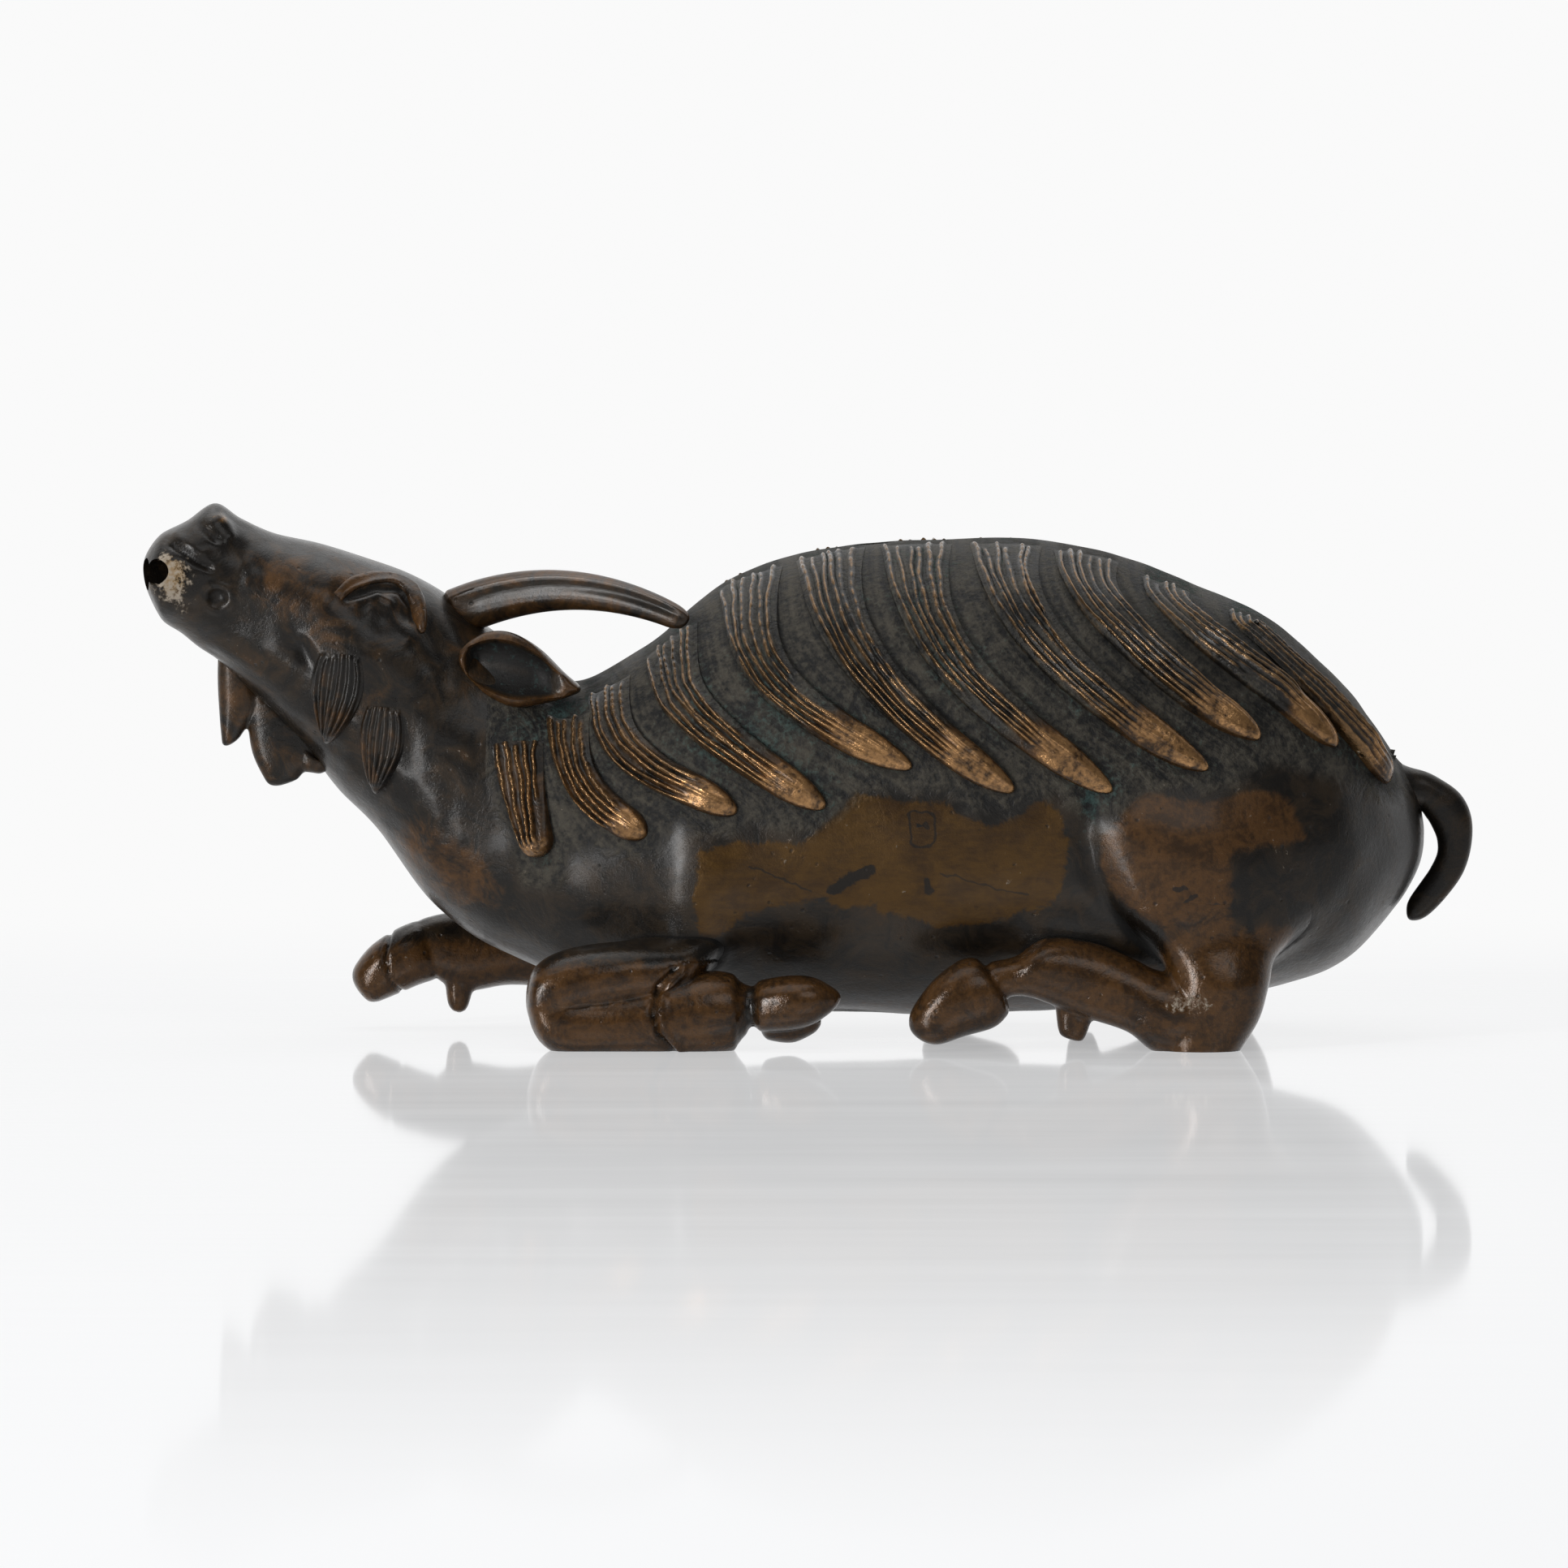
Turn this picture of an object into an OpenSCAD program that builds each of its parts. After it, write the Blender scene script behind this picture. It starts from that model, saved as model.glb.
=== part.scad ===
// Water dropper for ink grinding: a hollow bronze beast lying with its head raised.
// Water goes in at the air hole on the spine and drips from the hole in the mouth.
// The head points to -X, the table is z = 0, and the near flank faces -Y.

/* [Body] */
// Length of the body from the neck seam to the rump
body_len = 99; // [92:1:106]
// Where the neck seam stands, measured back from the middle of the whole piece
seam_x = -34; // [-36:0.5:-32]
// Height of the back above the table
back_h = 52.4; // [49:0.2:55]
// Width over the flanks
body_w = 48; // [45:0.5:51]
// Gap between the belly and the table
belly_gap = 2.6; // [2:0.1:3.4]
// Thickness of the cast wall
wall = 2.4; // [1.8:0.1:3]
// Length over which the rump rounds off
rump_round = 11; // [9:0.5:13]

/* [Head] */
// How far the muzzle turns towards the near side
head_turn = 7; // [5:0.5:9]
// Height of the nose above its drawn place
nose_lift = 0; // [-1.5:0.25:1.5]
// Diameter of the spout hole in the mouth
spout_d = 3.4; // [2.8:0.1:4]
// Straight length of the spout hole
spout_len = 7; // [6:0.5:8]
// Diameter of the throat between the spout hole and the neck
throat_d = 4.2; // [3.6:0.2:5]
// Diameter of the throat where it opens into the body
gullet_d = 8; // [7:0.5:10]

/* [Horn, ears and beard] */
// Rise of the horn above the line from its root to its tip
horn_rise = 3; // [2.4:0.1:4]
// Thickness of the horn at its root
horn_d = 5.2; // [4.4:0.2:6]
// Thickness of the horn at its tip
horn_tip_d = 2.4; // [2:0.1:3]
// Length of an ear from its root to its tip
ear_len = 12.8; // [11:0.2:13.6]
// Height of an ear across its leaf
ear_h = 8; // [7:0.2:8.6]
// Thickness of an ear
ear_t = 3.4; // [3:0.1:3.8]
// Depth of the hollow in an ear
ear_scoop = 1.5; // [1:0.1:1.8]
// Thickness of the beard
beard_t = 3; // [2.4:0.1:3.6]
// How far the cheek tufts stand off the cheek
tuft_h = 1.5; // [1:0.1:2]
// How far the brows stand off the head
brow_h = 0.6; // [0.4:0.1:1]
// Depth of the eye hollows
eye_depth = 0.9; // [0.6:0.1:1.2]

/* [Mane] */
// Width of a lock where it leaves the spine
lock_w = 6.8; // [5.6:0.1:7.4]
// Width of a lock near its tip
lock_tip_w = 3.4; // [3:0.1:4]
// Rise of the middle of a lock over its edges, at the spine
lock_h = 0.6; // [0.5:0.05:1]
// Rise of the middle of a lock over its edges, near its tip
lock_tip_h = 1.3; // [1:0.05:1.8]
// Height of the edges of a lock over what it lies on
lock_edge = 0.42; // [0.36:0.02:0.6]
// Number of strands in a lock
strands = 3; // [3:1:5]
// Depth of the grooves between strands
groove_d = 0.45; // [0.2:0.05:0.6]

/* [Legs and tail] */
// How far the shoulders swell out over the foreleg
shoulder_out = 1.9; // [1:0.1:2.6]
// How far the haunches swell out over the hind leg
haunch_out = 1.6; // [1:0.1:2.4]
// Distance of the middle of a foot in from the widest part of the flank
foot_inset = 3.5; // [2.5:0.1:4.5]
// How far a thigh swells out past the flank
thigh_out = 3; // [2:0.1:4]
// Thickness of the tail
tail_d = 3.6; // [3:0.1:4.4]

/* [Holes and patches] */
// Diameter of the air and filling hole on the spine
air_d = 4.4; // [4.1:0.1:5]
// Distance of the air hole behind the neck seam
air_x = 41; // [36:1:46]
// Length of the opening that the casting core came out of
core_len = 24; // [20:1:28]
// Width of the core opening
core_w = 12; // [10:0.5:14]
// Length of a flank patch
patch_len = 2.6; // [2.2:0.1:3.2]
// Height of a flank patch
patch_h = 3.4; // [3:0.1:4]
// Clearance all round a piece let into the wall
patch_fit = 0.05; // [0.03:0.01:0.1]
// Clearance where a piece is cut to the surface that it seats on
seat_gap = 0.06; // [0.04:0.01:0.1]

/* [Hidden] */
LOCK_NAMES = ["ruff", "neck_front", "neck_rear", "withers", "shoulder", "back_1", "back_2", "back_3",
    "loin", "croup", "rump"];

patina = "#2e2a26";
worn = "#6a4a24";
copper = "#8c5a34";
rump_x = seam_x + body_len;
track_w = body_w - 2 * foot_inset;
fullness = 2.2;

// The tables below are drawn for a body 99 long, 52.4 high and 48 wide. These shares carry their
// numbers over to the sizes above.
along = body_len / 99;
upward = back_h / 52.4;
across = body_w / 48;

// Body sections at equal steps of its length: height of the back and rise of the belly as shares
// of the back's height, half width as a share of the widest, level of the widest place.
BODY = [
    [0.830, 0.134, 0.54, 0.48],
    [0.717, 0.073, 0.65, 0.46],
    [0.785, 0.042, 0.77, 0.44],
    [0.906, 0.019, 0.875, 0.42],
    [0.971, 0.004, 0.94, 0.42],
    [0.998, 0.000, 0.98, 0.42],
    [1.004, 0.000, 1.00, 0.42],
    [1.000, 0.008, 1.00, 0.42],
    [0.970, 0.013, 0.98, 0.42],
    [0.916, 0.019, 0.93, 0.43],
    [0.845, 0.052, 0.84, 0.44],
    [0.716, 0.100, 0.70, 0.46],
    [0.600, 0.170, 0.52, 0.48]];

// Head sections from the muzzle to the neck: crown x and z, jaw x and z, half width, widest level.
// The places are in mm, x from the neck seam and z from the table.
HEAD = [
    [-36.0, 51.8, -35.4, 46.4, 4.8, 0.50],
    [-33.8, 53.4, -33.7, 44.2, 5.8, 0.50],
    [-31.2, 54.7, -31.8, 42.9, 6.2, 0.50],
    [-28.3, 56.5, -30.0, 41.4, 6.4, 0.50],
    [-25.6, 54.9, -27.7, 39.8, 6.8, 0.52],
    [-22.1, 53.3, -25.1, 37.2, 7.8, 0.56],
    [-17.4, 52.2, -21.7, 33.8, 9.4, 0.60],
    [-12.7, 50.7, -18.3, 30.0, 10.8, 0.62],
    [-8.3, 49.1, -15.3, 26.1, 11.6, 0.60],
    [-4.6, 47.1, -11.3, 22.0, 12.0, 0.56],
    [-2.0, 45.0, -5.9, 14.6, 12.6, 0.52]];

// Mane locks from the neck to the rump: root and tip behind the seam in mm, level of root and tip
// between the widest place (0) and the spine (1), how late the lock turns back, share of full width.
LOCKS = [
    [3.6, 6.3, 0.48, -0.12, 1.6, 0.74],
    [8.9, 17.3, 0.80, 0.07, 2.6, 0.62],
    [13.2, 26.6, 0.90, 0.10, 2.4, 0.68],
    [19.8, 35.8, 0.92, 0.08, 2.2, 0.9],
    [28.0, 44.8, 0.955, 0.21, 2.7, 0.96],
    [36.4, 55.4, 0.955, 0.12, 2.0, 0.98],
    [45.4, 65.6, 0.955, 0.14, 2.1, 1],
    [54.8, 75.6, 0.955, 0.27, 2.0, 1],
    [63.2, 81.1, 0.95, 0.44, 1.7, 0.92],
    [71.6, 89.3, 0.94, 0.58, 1.4, 0.7],
    [80.3, 94.8, 0.93, 0.62, 0.8, 0.64]];

// Smooth value between the rows of a table, at row t, which may lie between two rows.
function spline(rows, t) =
    let (last = len(rows) - 1, i = max(0, min(floor(t), last - 1)), f = t - i,
        a = rows[max(i - 1, 0)], b = rows[i], c = rows[i + 1], d = rows[min(i + 2, last)])
    0.5 * (2 * b + (c - a) * f + (2 * a - 5 * b + 4 * c - d) * f * f
        + (3 * b - a - 3 * c + d) * f * f * f);

// A section row is [top x, top z, bottom x, bottom z, middle y, half width, widest level].
// Its rim at angle a starts on the near side (0) and goes over the top (90) to the far side.
function rim(row, a) =
    let (c = cos(a), s = sin(a), k = pow(pow(abs(c), fullness) + pow(abs(s), fullness), -1 / fullness),
        level = row[6] + (s > 0 ? 1 - row[6] : row[6]) * s * k)
    [row[2] + (row[0] - row[2]) * level, row[4] - row[5] * c * k, row[3] + (row[1] - row[3]) * level];

// The row drawn in to a share k of its size about its middle, and grown by g all round.
function drawn(row, k, g = 0) =
    let (mid = [row[2] + (row[0] - row[2]) * row[6], row[3] + (row[1] - row[3]) * row[6]],
        up = [row[0], row[1]] - mid, down = [row[2], row[3]] - mid,
        ku = k * (norm(up) + g) / norm(up), kd = k * (norm(down) + g) / norm(down))
    [mid[0] + up[0] * ku, mid[1] + up[1] * ku, mid[0] + down[0] * kd, mid[1] + down[1] * kd,
        row[4], k * (row[5] + g), row[6]];

// Share of full size at distance u from an end that rounds off over the length e.
function ease(u, e) = u >= e ? 1 : sqrt(max(0, 1 - pow(1 - u / e, 2)));

// Steps from 0 to 1, closer together over the rounded ends e0 and e1.
function steps(n, e0, e1, q = 3) =
    let (start = e0 > 0 ? [for (i = [0.25:1:q]) e0 * (1 - cos(90 * i / q))] : [],
        end = e1 > 0 ? [for (i = [q - 1:-1:0]) 1 - e1 * (1 - cos(90 * (i + 0.25) / q))] : [])
    concat(start, [for (i = [0:n]) e0 + (1 - e0 - e1) * i / n], end);

function total(list, i = 0) = i == len(list) - 1 ? list[i] : list[i] + total(list, i + 1);
function middle(ring) = total(ring) / len(ring);

// A closed skin over rings that all have the same number of points.
module skin(drawn_rings) {
    n = len(drawn_rings[0]);
    m = len(drawn_rings);
    c = middle(drawn_rings[1]);
    facing = total([for (j = [0:n - 1]) cross(drawn_rings[1][j] - c, drawn_rings[1][(j + 1) % n] - c)]);
    ahead = facing * (middle(drawn_rings[2]) - c) < 0;
    rings = ahead ? drawn_rings : [for (i = [m - 1:-1:0]) drawn_rings[i]];
    sides = [for (i = [0:m - 2], j = [0:n - 1]) let (k = (j + 1) % n)
        each [[i * n + j, i * n + k, (i + 1) * n + k], [i * n + j, (i + 1) * n + k, (i + 1) * n + j]]];
    polyhedron([for (ring = rings) each ring],
        concat(sides, [[for (j = [n - 1:-1:0]) j], [for (j = [0:n - 1]) (m - 1) * n + j]]));
}

// A limb or tuft drawn through section rows, with ends that round off over shares e0 and e1.
module limb(rows, n = 10, sides = 16, e0 = 0.1, e1 = 0.1) {
    last = len(rows) - 1;
    skin([for (t = steps(n, e0, e1, 2))
        let (row = drawn(spline(rows, t * last), min(ease(t, e0), ease(1 - t, e1))))
        [for (j = [0:sides - 1]) rim(row, 360 * j / sides)]]);
}

// Swells of the flanks: place behind the seam and height, reach ahead, behind, down and up, rise.
SWELLS = [
    [22.0, 13.5, 7.0, 9.0, 9.0, 9.5, shoulder_out],
    [77.0, 17.0, 9.0, 11.0, 12.0, 9.0, haunch_out]];

// Share of a swell at the distance d from its middle, with its own reach on each side.
function lump(d, low, high) = exp(-pow(d / (d < 0 ? low : high), 2));

// A point of the body at angle a, moved sideways by the swells.
function swelled(p, a) =
    let (x = (p[0] - seam_x) / along, z = p[2] / upward,
        rise = total([for (s = SWELLS) s[6] * lump(x - s[0], s[2], s[3]) * lump(z - s[1], s[4], s[5])]))
    p - [0, cos(a) * rise, 0];

// Body section at place x, grown by g.
function body_row(x, g = 0) =
    let (r = spline(BODY, min(1, (x - seam_x) / body_len) * (len(BODY) - 1)),
        row = [x, back_h * r[0], x, belly_gap + back_h * r[1], 0, r[2] * body_w / 2, r[3]])
    drawn(row, ease(max(rump_x + g - x, 0.02), rump_round + g), g);

// One ring of the body's surface grown by g, and a point of the surface at place x and angle a.
function body_ring(x, n, g = 0) = let (row = body_row(x, g))
    [for (j = [0:n - 1]) let (a = 360 * j / n) swelled(rim(row, a), a)];
body_surface = function (x, a) swelled(rim(body_row(x), a), a);

// Angle at which a body section passes the level v between its widest place and its top, and back.
function level_angle(v) = atan2(v, pow(1 - pow(abs(v), fullness), 1 / fullness));
function angle_level(a) = let (c = abs(cos(a)), s = abs(sin(a)))
    sin(a) * pow(pow(c, fullness) + pow(s, fullness), -1 / fullness);

// The body's outer form grown by g, or only its stretch between two places.
body_rings = 16;
body_sides = 28;
module body_form(g = 0, from = -1000, to = 1000) {
    length = rump_x + g - seam_x;
    places = [for (t = steps(body_rings, 0, rump_round / length)) seam_x + t * length];
    kept = [for (x = places) if (x >= from && x <= to) x];
    skin([for (x = kept) body_ring(x, body_sides, g)]);
}

module cavity(n = 9, sides = 18) {
    x0 = seam_x + wall;
    x1 = rump_x - wall;
    front_round = 6 * along;
    e0 = front_round / (x1 - x0);
    e1 = rump_round / (x1 - x0);
    skin([for (t = steps(n, e0, e1))
        let (x = x0 + (x1 - x0) * t, row = drawn(body_row(x, -wall), ease(t, e0)))
        [for (j = [0:sides - 1]) let (a = 360 * j / sides) swelled(rim(row, a), a)]]);
}

// Head section at row t, grown by g. The last row is the body's own section at the seam.
function head_row(t, g = 0) =
    let (seam = body_row(seam_x),
        rows = concat([for (r = HEAD)
            let (reach = -(r[0] + r[2]) / 2, lift = nose_lift * pow(reach / 36, 2))
            [seam_x + r[0] * along, r[1] * upward + lift, seam_x + r[2] * along, r[3] * upward + lift,
                -head_turn * pow(reach / 36, 1.6), r[4] * across, r[5]]],
            [seam]))
    drawn(spline(rows, t), ease(t + 0.02, 1.1), g);

head_last = len(HEAD);
head_surface = function (t, a) rim(head_row(t), a);

head_rings = 16;
head_sides = 24;
module head_form(g = 0, from = 0) {
    kept = [for (t = steps(head_rings, 0.1, 0)) if (t * head_last >= from) t * head_last];
    skin([for (t = kept) [for (j = [0:head_sides - 1]) rim(head_row(t, g), 360 * j / head_sides)]]);
}

function unit(v) = v / norm(v);

// Slopes of a surface at (s, a) along its two directions.
function slope_s(ground, s, a) = (ground(s + 0.05, a) - ground(s - 0.05, a)) / 0.1;
function slope_a(ground, s, a) = (ground(s, a + 1) - ground(s, a - 1)) / 2;
function outward(ground, s, a) = unit(cross(slope_s(ground, s, a), slope_a(ground, s, a)));

// Surface place reached from (s, a) by stepping along the vector v.
function stepped(ground, s, a, v) =
    let (p = slope_s(ground, s, a), q = slope_a(ground, s, a),
        d = (p * p) * (q * q) - (p * q) * (p * q))
    [s + ((v * p) * (q * q) - (v * q) * (p * q)) / d, a + ((v * q) * (p * p) - (v * p) * (p * q)) / d];

// A lock of hair laid on a surface: path(t) gives its place, width(t) and height(t) its size.
// It is drawn a little way into the surface, and what it lies on is then cut out of it.
lock_sunk = 0.6;
module lock(ground, path, width, height, count, n = 6, groove_depth = groove_d) {
    points = 2 * count;
    skin([for (t = steps(n, 0, 0.1, 1))
        let (here = path(t), next = path(t + 0.01), was = path(t - 0.01),
            p = ground(here[0], here[1]),
            side = unit(cross(ground(next[0], next[1]) - ground(was[0], was[1]),
                outward(ground, here[0], here[1]))),
            w = width(t) / 2 * ease(1 - t, 0.1), h = height(t) * ease(1 - t, 0.1))
        concat(
            [for (i = [0:points]) let (u = 1 - 2 * i / points,
                place = stepped(ground, here[0], here[1], side * w * u),
                groove = i % 2 == 0 && i > 0 && i < points ? groove_depth * min(1, h / lock_tip_h) : 0,
                rise = lock_edge + h * sqrt(max(0, 1 - u * u)) - groove)
                ground(place[0], place[1]) + rise * outward(ground, place[0], place[1])],
            [for (u = [-0.9, 0.9]) let (place = stepped(ground, here[0], here[1], side * w * u))
                ground(place[0], place[1]) - lock_sunk * outward(ground, place[0], place[1])])]);
}

module mane_lock(i, far = false) {
    r = LOCKS[i];
    path = function (t)
        let (a = level_angle(r[2]) + (level_angle(r[3]) - level_angle(r[2])) * t,
            d = max(0, min(1, (angle_level(a) - r[2]) / (r[3] - r[2]))))
        [seam_x + (r[0] + (r[1] - r[0]) * pow(d, r[4])) * along, a];
    width = function (t) r[5] * lock_w + (min(lock_tip_w, 0.9 * r[5] * lock_w) - r[5] * lock_w) * t;
    height = function (t) lock_h + (lock_tip_h - lock_h) * t;
    x = seam_x + r[0] * along;
    color(copper) seated(x - 12 * along, x + 38 * along) {
        if (far) far_side() lock(body_surface, path, width, height, strands);
        else lock(body_surface, path, width, height, strands);
    }
}

module body_shell() {
    color(patina) difference() {
        body_form();
        cavity();
        gullet();
        translate([seam_x + air_x, 0, back_h / 2]) cylinder(h = back_h, d = air_d, $fn = 32);
        core_cut(0);
        flank_cut(0);
        mirror([0, 1, 0]) flank_cut(0);
    }
}

// The way of the water: body, gullet, throat, spout.
mouth = [seam_x - 33.6 * along, -1.2 * head_turn, 49.2 * upward + nose_lift];
spout_dir = [cos(27), sin(27), 0];
spout_back = mouth + spout_len * spout_dir;
gullet_front = [seam_x - 10 * along, -head_turn / 6, 37 * upward];
gullet_back = [seam_x + wall + 4 * along, 0, 26 * upward];

module rod(a, b, d0, d1) {
    v = b - a;
    translate(a) rotate([0, acos(v[2] / norm(v)), atan2(v[1], v[0])])
        cylinder(h = norm(v), d1 = d0, d2 = d1, $fn = 20);
}

module gullet() {
    rod(gullet_front, gullet_back, throat_d, gullet_d);
}

// A hollow on both sides of the head at row t and angle a: half its length, half its height, its
// depth, and how far its line runs down to the back.
module pit(t, a, long, high, depth, tilt) {
    row = function (x) [x, high, x, -high, 0, 2 * depth, 0.5];
    for (b = [a, 180 - a])
        translate(head_surface(t, b) + depth * outward(head_surface, t, b))
            rotate([0, tilt, 0]) limb([row(-long), row(long)], 1, 10, 0.45, 0.45);
}

module head_and_neck() {
    bend_d = 1.1 * throat_d;
    color(patina) difference() {
        head_form();
        rod(mouth - spout_len / 2 * spout_dir, spout_back, spout_d, spout_d);
        rod(spout_back, gullet_front, throat_d, throat_d);
        translate(spout_back) sphere(d = bend_d, $fn = 16);
        translate(gullet_front) sphere(d = bend_d, $fn = 16);
        gullet();
        // Eye hollow, nostril, corner of the mouth, and the crease above the front cheek tuft.
        pit(7.75, 33, 3.6 * along, 1.9 * upward, eye_depth, 30);
        pit(3.0, 38, 1.4 * along, 0.8 * upward, eye_depth * 0.7, 35);
        pit(3.59, -10, 1.0 * along, 0.9 * upward, eye_depth * 0.7, 0);
        pit(6.25, -14, 1.9 * along, 0.9 * upward, eye_depth * 0.7, 62);
    }
}

// A brow arches over the eye on the head's own surface.
module brow(far = false) {
    arc = [[6.7, 26], [7.0, 44], [7.6, 60], [8.15, 60], [8.6, 48], [8.85, 36]];
    path = function (t)
        let (p = spline(arc, t * (len(arc) - 1)))
        [p[0], far ? 180 - p[1] : p[1]];
    width = function (t) (1 + 3.2 * t * (1 - t)) * across;
    height = function (t) brow_h * (0.6 + 1.6 * t * (1 - t));
    color(patina) seated(head_from = 5) lock(head_surface, path, width, height, 2, 8, 0);
}

module near_brow() {
    brow();
}

module far_brow() {
    brow(true);
}

// Takes away what would lie inside the body, the head or the table, so that a piece seats on them.
module seated(body_from = 1000, body_to = 1000, head_from = 100, on_table = false) {
    difference() {
        children();
        if (body_from < 1000) body_form(seat_gap, body_from, body_to);
        if (head_from < 100) head_form(seat_gap, head_from);
        if (on_table) translate([0, 0, -20]) cube([300, 300, 40], center = true);
    }
}

module far_side() {
    mirror([0, 1, 0]) children();
}

// The horn springs from the crown and its tip lies on the mane beside the spine.
module horn() {
    root = [seam_x - 3.6 * along, -1.8 * across, 44.6 * upward];
    tip_x = seam_x + 22.6 * along;
    tip_a = level_angle(0.87);
    tip_rise = lock_edge + lock_h + horn_tip_d / 2 + 2 * seat_gap;
    tip = body_surface(tip_x, tip_a) + tip_rise * outward(body_surface, tip_x, tip_a);
    rows = [for (t = [0:0.125:1])
        let (c = root + (tip - root) * t + [0, 0, horn_rise * 4 * t * (1 - t)],
            slope = (tip - root)[2] / (tip - root)[0] + horn_rise * 4 * (1 - 2 * t) / (tip - root)[0],
            up = unit([-slope, 1]), r = (horn_d + (horn_tip_d - horn_d) * pow(t, 1.4)) / 2)
        [c[0] + up[0] * r, c[2] + up[1] * r, c[0] - up[0] * r, c[2] - up[1] * r, c[1], r * 0.92, 0.6]];
    color(worn) seated(head_from = 6) limb(rows, 10, 12, 0.04, 0.08);
}

// A leaf-shaped ear with a hollow face, lying back along the neck.
module ear_form() {
    root = [seam_x - 2.6 * along, -9.2 * across, 40.6 * upward];
    leaf = [[0, 0.2, -0.02], [0.1, 0.36, 0.2], [0.26, 0.48, 0.4], [0.45, 0.46, 0.51], [0.65, 0.27, 0.48],
        [0.85, -0.04, 0.41], [1, -0.24, 0.32]];
    rows = function (k, out) [for (r = leaf)
        let (x = root[0] + r[0] * ear_len, mid = (r[1] - r[2]) / 2, half = (r[1] + r[2]) / 2 * k)
        [x, root[2] + (mid + half - 0.15) * ear_h, x, root[2] + (mid - half - 0.15) * ear_h,
            root[1] - 1.4 * across * sin(180 * min(1, r[0])) - out, ear_t / 2, 0.5]];
    difference() {
        limb(rows(1, 0), 6, 12, 0.05, 0.05);
        translate([ear_len * 0.11, 0, 0]) scoop(rows(0.78, ear_t - ear_scoop));
    }
}

module scoop(rows) {
    last = len(rows) - 1;
    skin([for (t = steps(5, 0.08, 0.08, 2))
        let (row = drawn(spline(rows, (0.03 + 0.8 * t) * last), min(ease(t, 0.08), ease(1 - t, 0.08))))
        [for (j = [0:9]) rim(row, 36 * j)]]);
}

module near_ear() {
    color(worn) seated(seam_x - 1, seam_x + 20 * along, 6) ear_form();
}

module far_ear() {
    color(worn) seated(seam_x - 1, seam_x + 20 * along, 6) far_side() ear_form();
}

// The beard hangs from the jaw in the middle plane: two tufts and a small one behind them.
module beard() {
    half = beard_t / 2;
    turn = -head_turn * pow(24 / 36, 1.6);
    place = function (rows) [for (r = rows)
        [seam_x + r[0] * along, r[1] * upward, seam_x + r[2] * along, r[3] * upward, turn, r[4] * half, 0.5]];
    front = [[-28, 41.6, -24.2, 37.6, 1], [-28.1, 38, -23.8, 35, 1], [-27.9, 34, -24.6, 33.6, 0.8],
        [-27.6, 30.6, -26, 31.4, 0.4]];
    rear = [[-25.2, 37.5, -16.5, 30, 1], [-25, 34, -18, 29, 1], [-24.4, 30, -18.8, 28.4, 0.9],
        [-22.6, 26.4, -19.8, 27.2, 0.4]];
    last_tuft = [[-20, 31, -16, 28.6, 1], [-19.6, 29.4, -17.2, 28, 0.8], [-19.2, 28.2, -18.2, 28.1, 0.4]];
    color(patina) seated(head_from = 3) translate([0, 0, nose_lift / 3]) {
        limb(place(front), 4, 8, 0, 0.1);
        limb(place(rear), 4, 8, 0, 0.1);
        limb(place(last_tuft), 3, 8, 0, 0.1);
    }
}

// A flame-shaped tuft on the cheek: place and length along the head's own surface.
module cheek_tuft(t0, t1, a0, a1, w) {
    path = function (t) [t0 + (t1 - t0) * t, a0 + (a1 - a0) * t];
    width = function (t) w * across * (0.7 + 1.3 * t * (1 - t)) * (1 - 0.85 * pow(t, 2.4));
    height = function (t) tuft_h * (0.45 + 0.55 * t);
    color(patina) seated(head_from = 5) lock(head_surface, path, width, height, 3, 4);
}

module near_front_cheek_tuft() {
    cheek_tuft(7.1, 7.45, -7, -46, 6);
}

module near_rear_cheek_tuft() {
    cheek_tuft(8.45, 8.87, -12, -45, 5);
}

module far_front_cheek_tuft() {
    cheek_tuft(7.1, 7.45, 187, 226, 6);
}

module far_rear_cheek_tuft() {
    cheek_tuft(8.45, 8.87, 192, 225, 5);
}

// Leg rows are in mm behind the seam and above the table, their middle y as a share of the half track.
module leg(rows, n, e0, e1, sides = 9) {
    limb([for (r = rows) [seam_x + r[0] * along, r[1] * upward, seam_x + r[2] * along, r[3] * upward,
        -r[4] * track_w / 2, r[5] * across, 0.5]], n, sides, e0, e1);
}

module near_foreleg() {
    color(worn) seated(seam_x - 1, seam_x + 45 * along, on_table = true) {
        leg([[26, 12, 22, 7, 0.92, 3.2], [21, 11.4, 20.4, 5, 0.95, 4.4], [15.6, 11.4, 15.6, 4.4, 0.97, 5],
            [10, 10.8, 11, 3.6, 0.99, 4.8], [6.6, 9.6, 7, 2.6, 1.01, 4.2],
            [4.6, 7.6, 4.6, 3, 1.02, 3.2]], 5, 0.16, 0.12);
        leg([[4.8, 6.8, 4.8, 2.2, 1.02, 3], [8, 6.6, 8, -0.4, 1.02, 3.8], [14, 6.2, 14, -0.5, 1.02, 3.8],
            [20, 7.4, 20, -0.5, 1.02, 4], [24, 8, 24, -0.2, 1.02, 4], [26.6, 7.6, 26.6, 0.4, 1.02, 3.6],
            [28.4, 6.9, 28.2, 1.8, 1.02, 3]], 6, 0.1, 0.06);
        leg([[28, 7.2, 28.2, 2, 1.06, 3.2], [31.8, 7.9, 32, 2.2, 1.1, 3.5], [34.8, 7.7, 34.6, 2.9, 1.12, 3],
            [37.7, 6, 37, 4.6, 1.14, 1.2]], 4, 0.1, 0.12);
        leg([[28.6, 3.8, 29.2, 1.1, 0.94, 2.6], [32.4, 4.4, 32.4, 0.7, 0.94, 2.8],
            [35.6, 3.4, 35.2, 2, 0.94, 1.4]], 3, 0.15, 0.15);
    }
}

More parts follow.
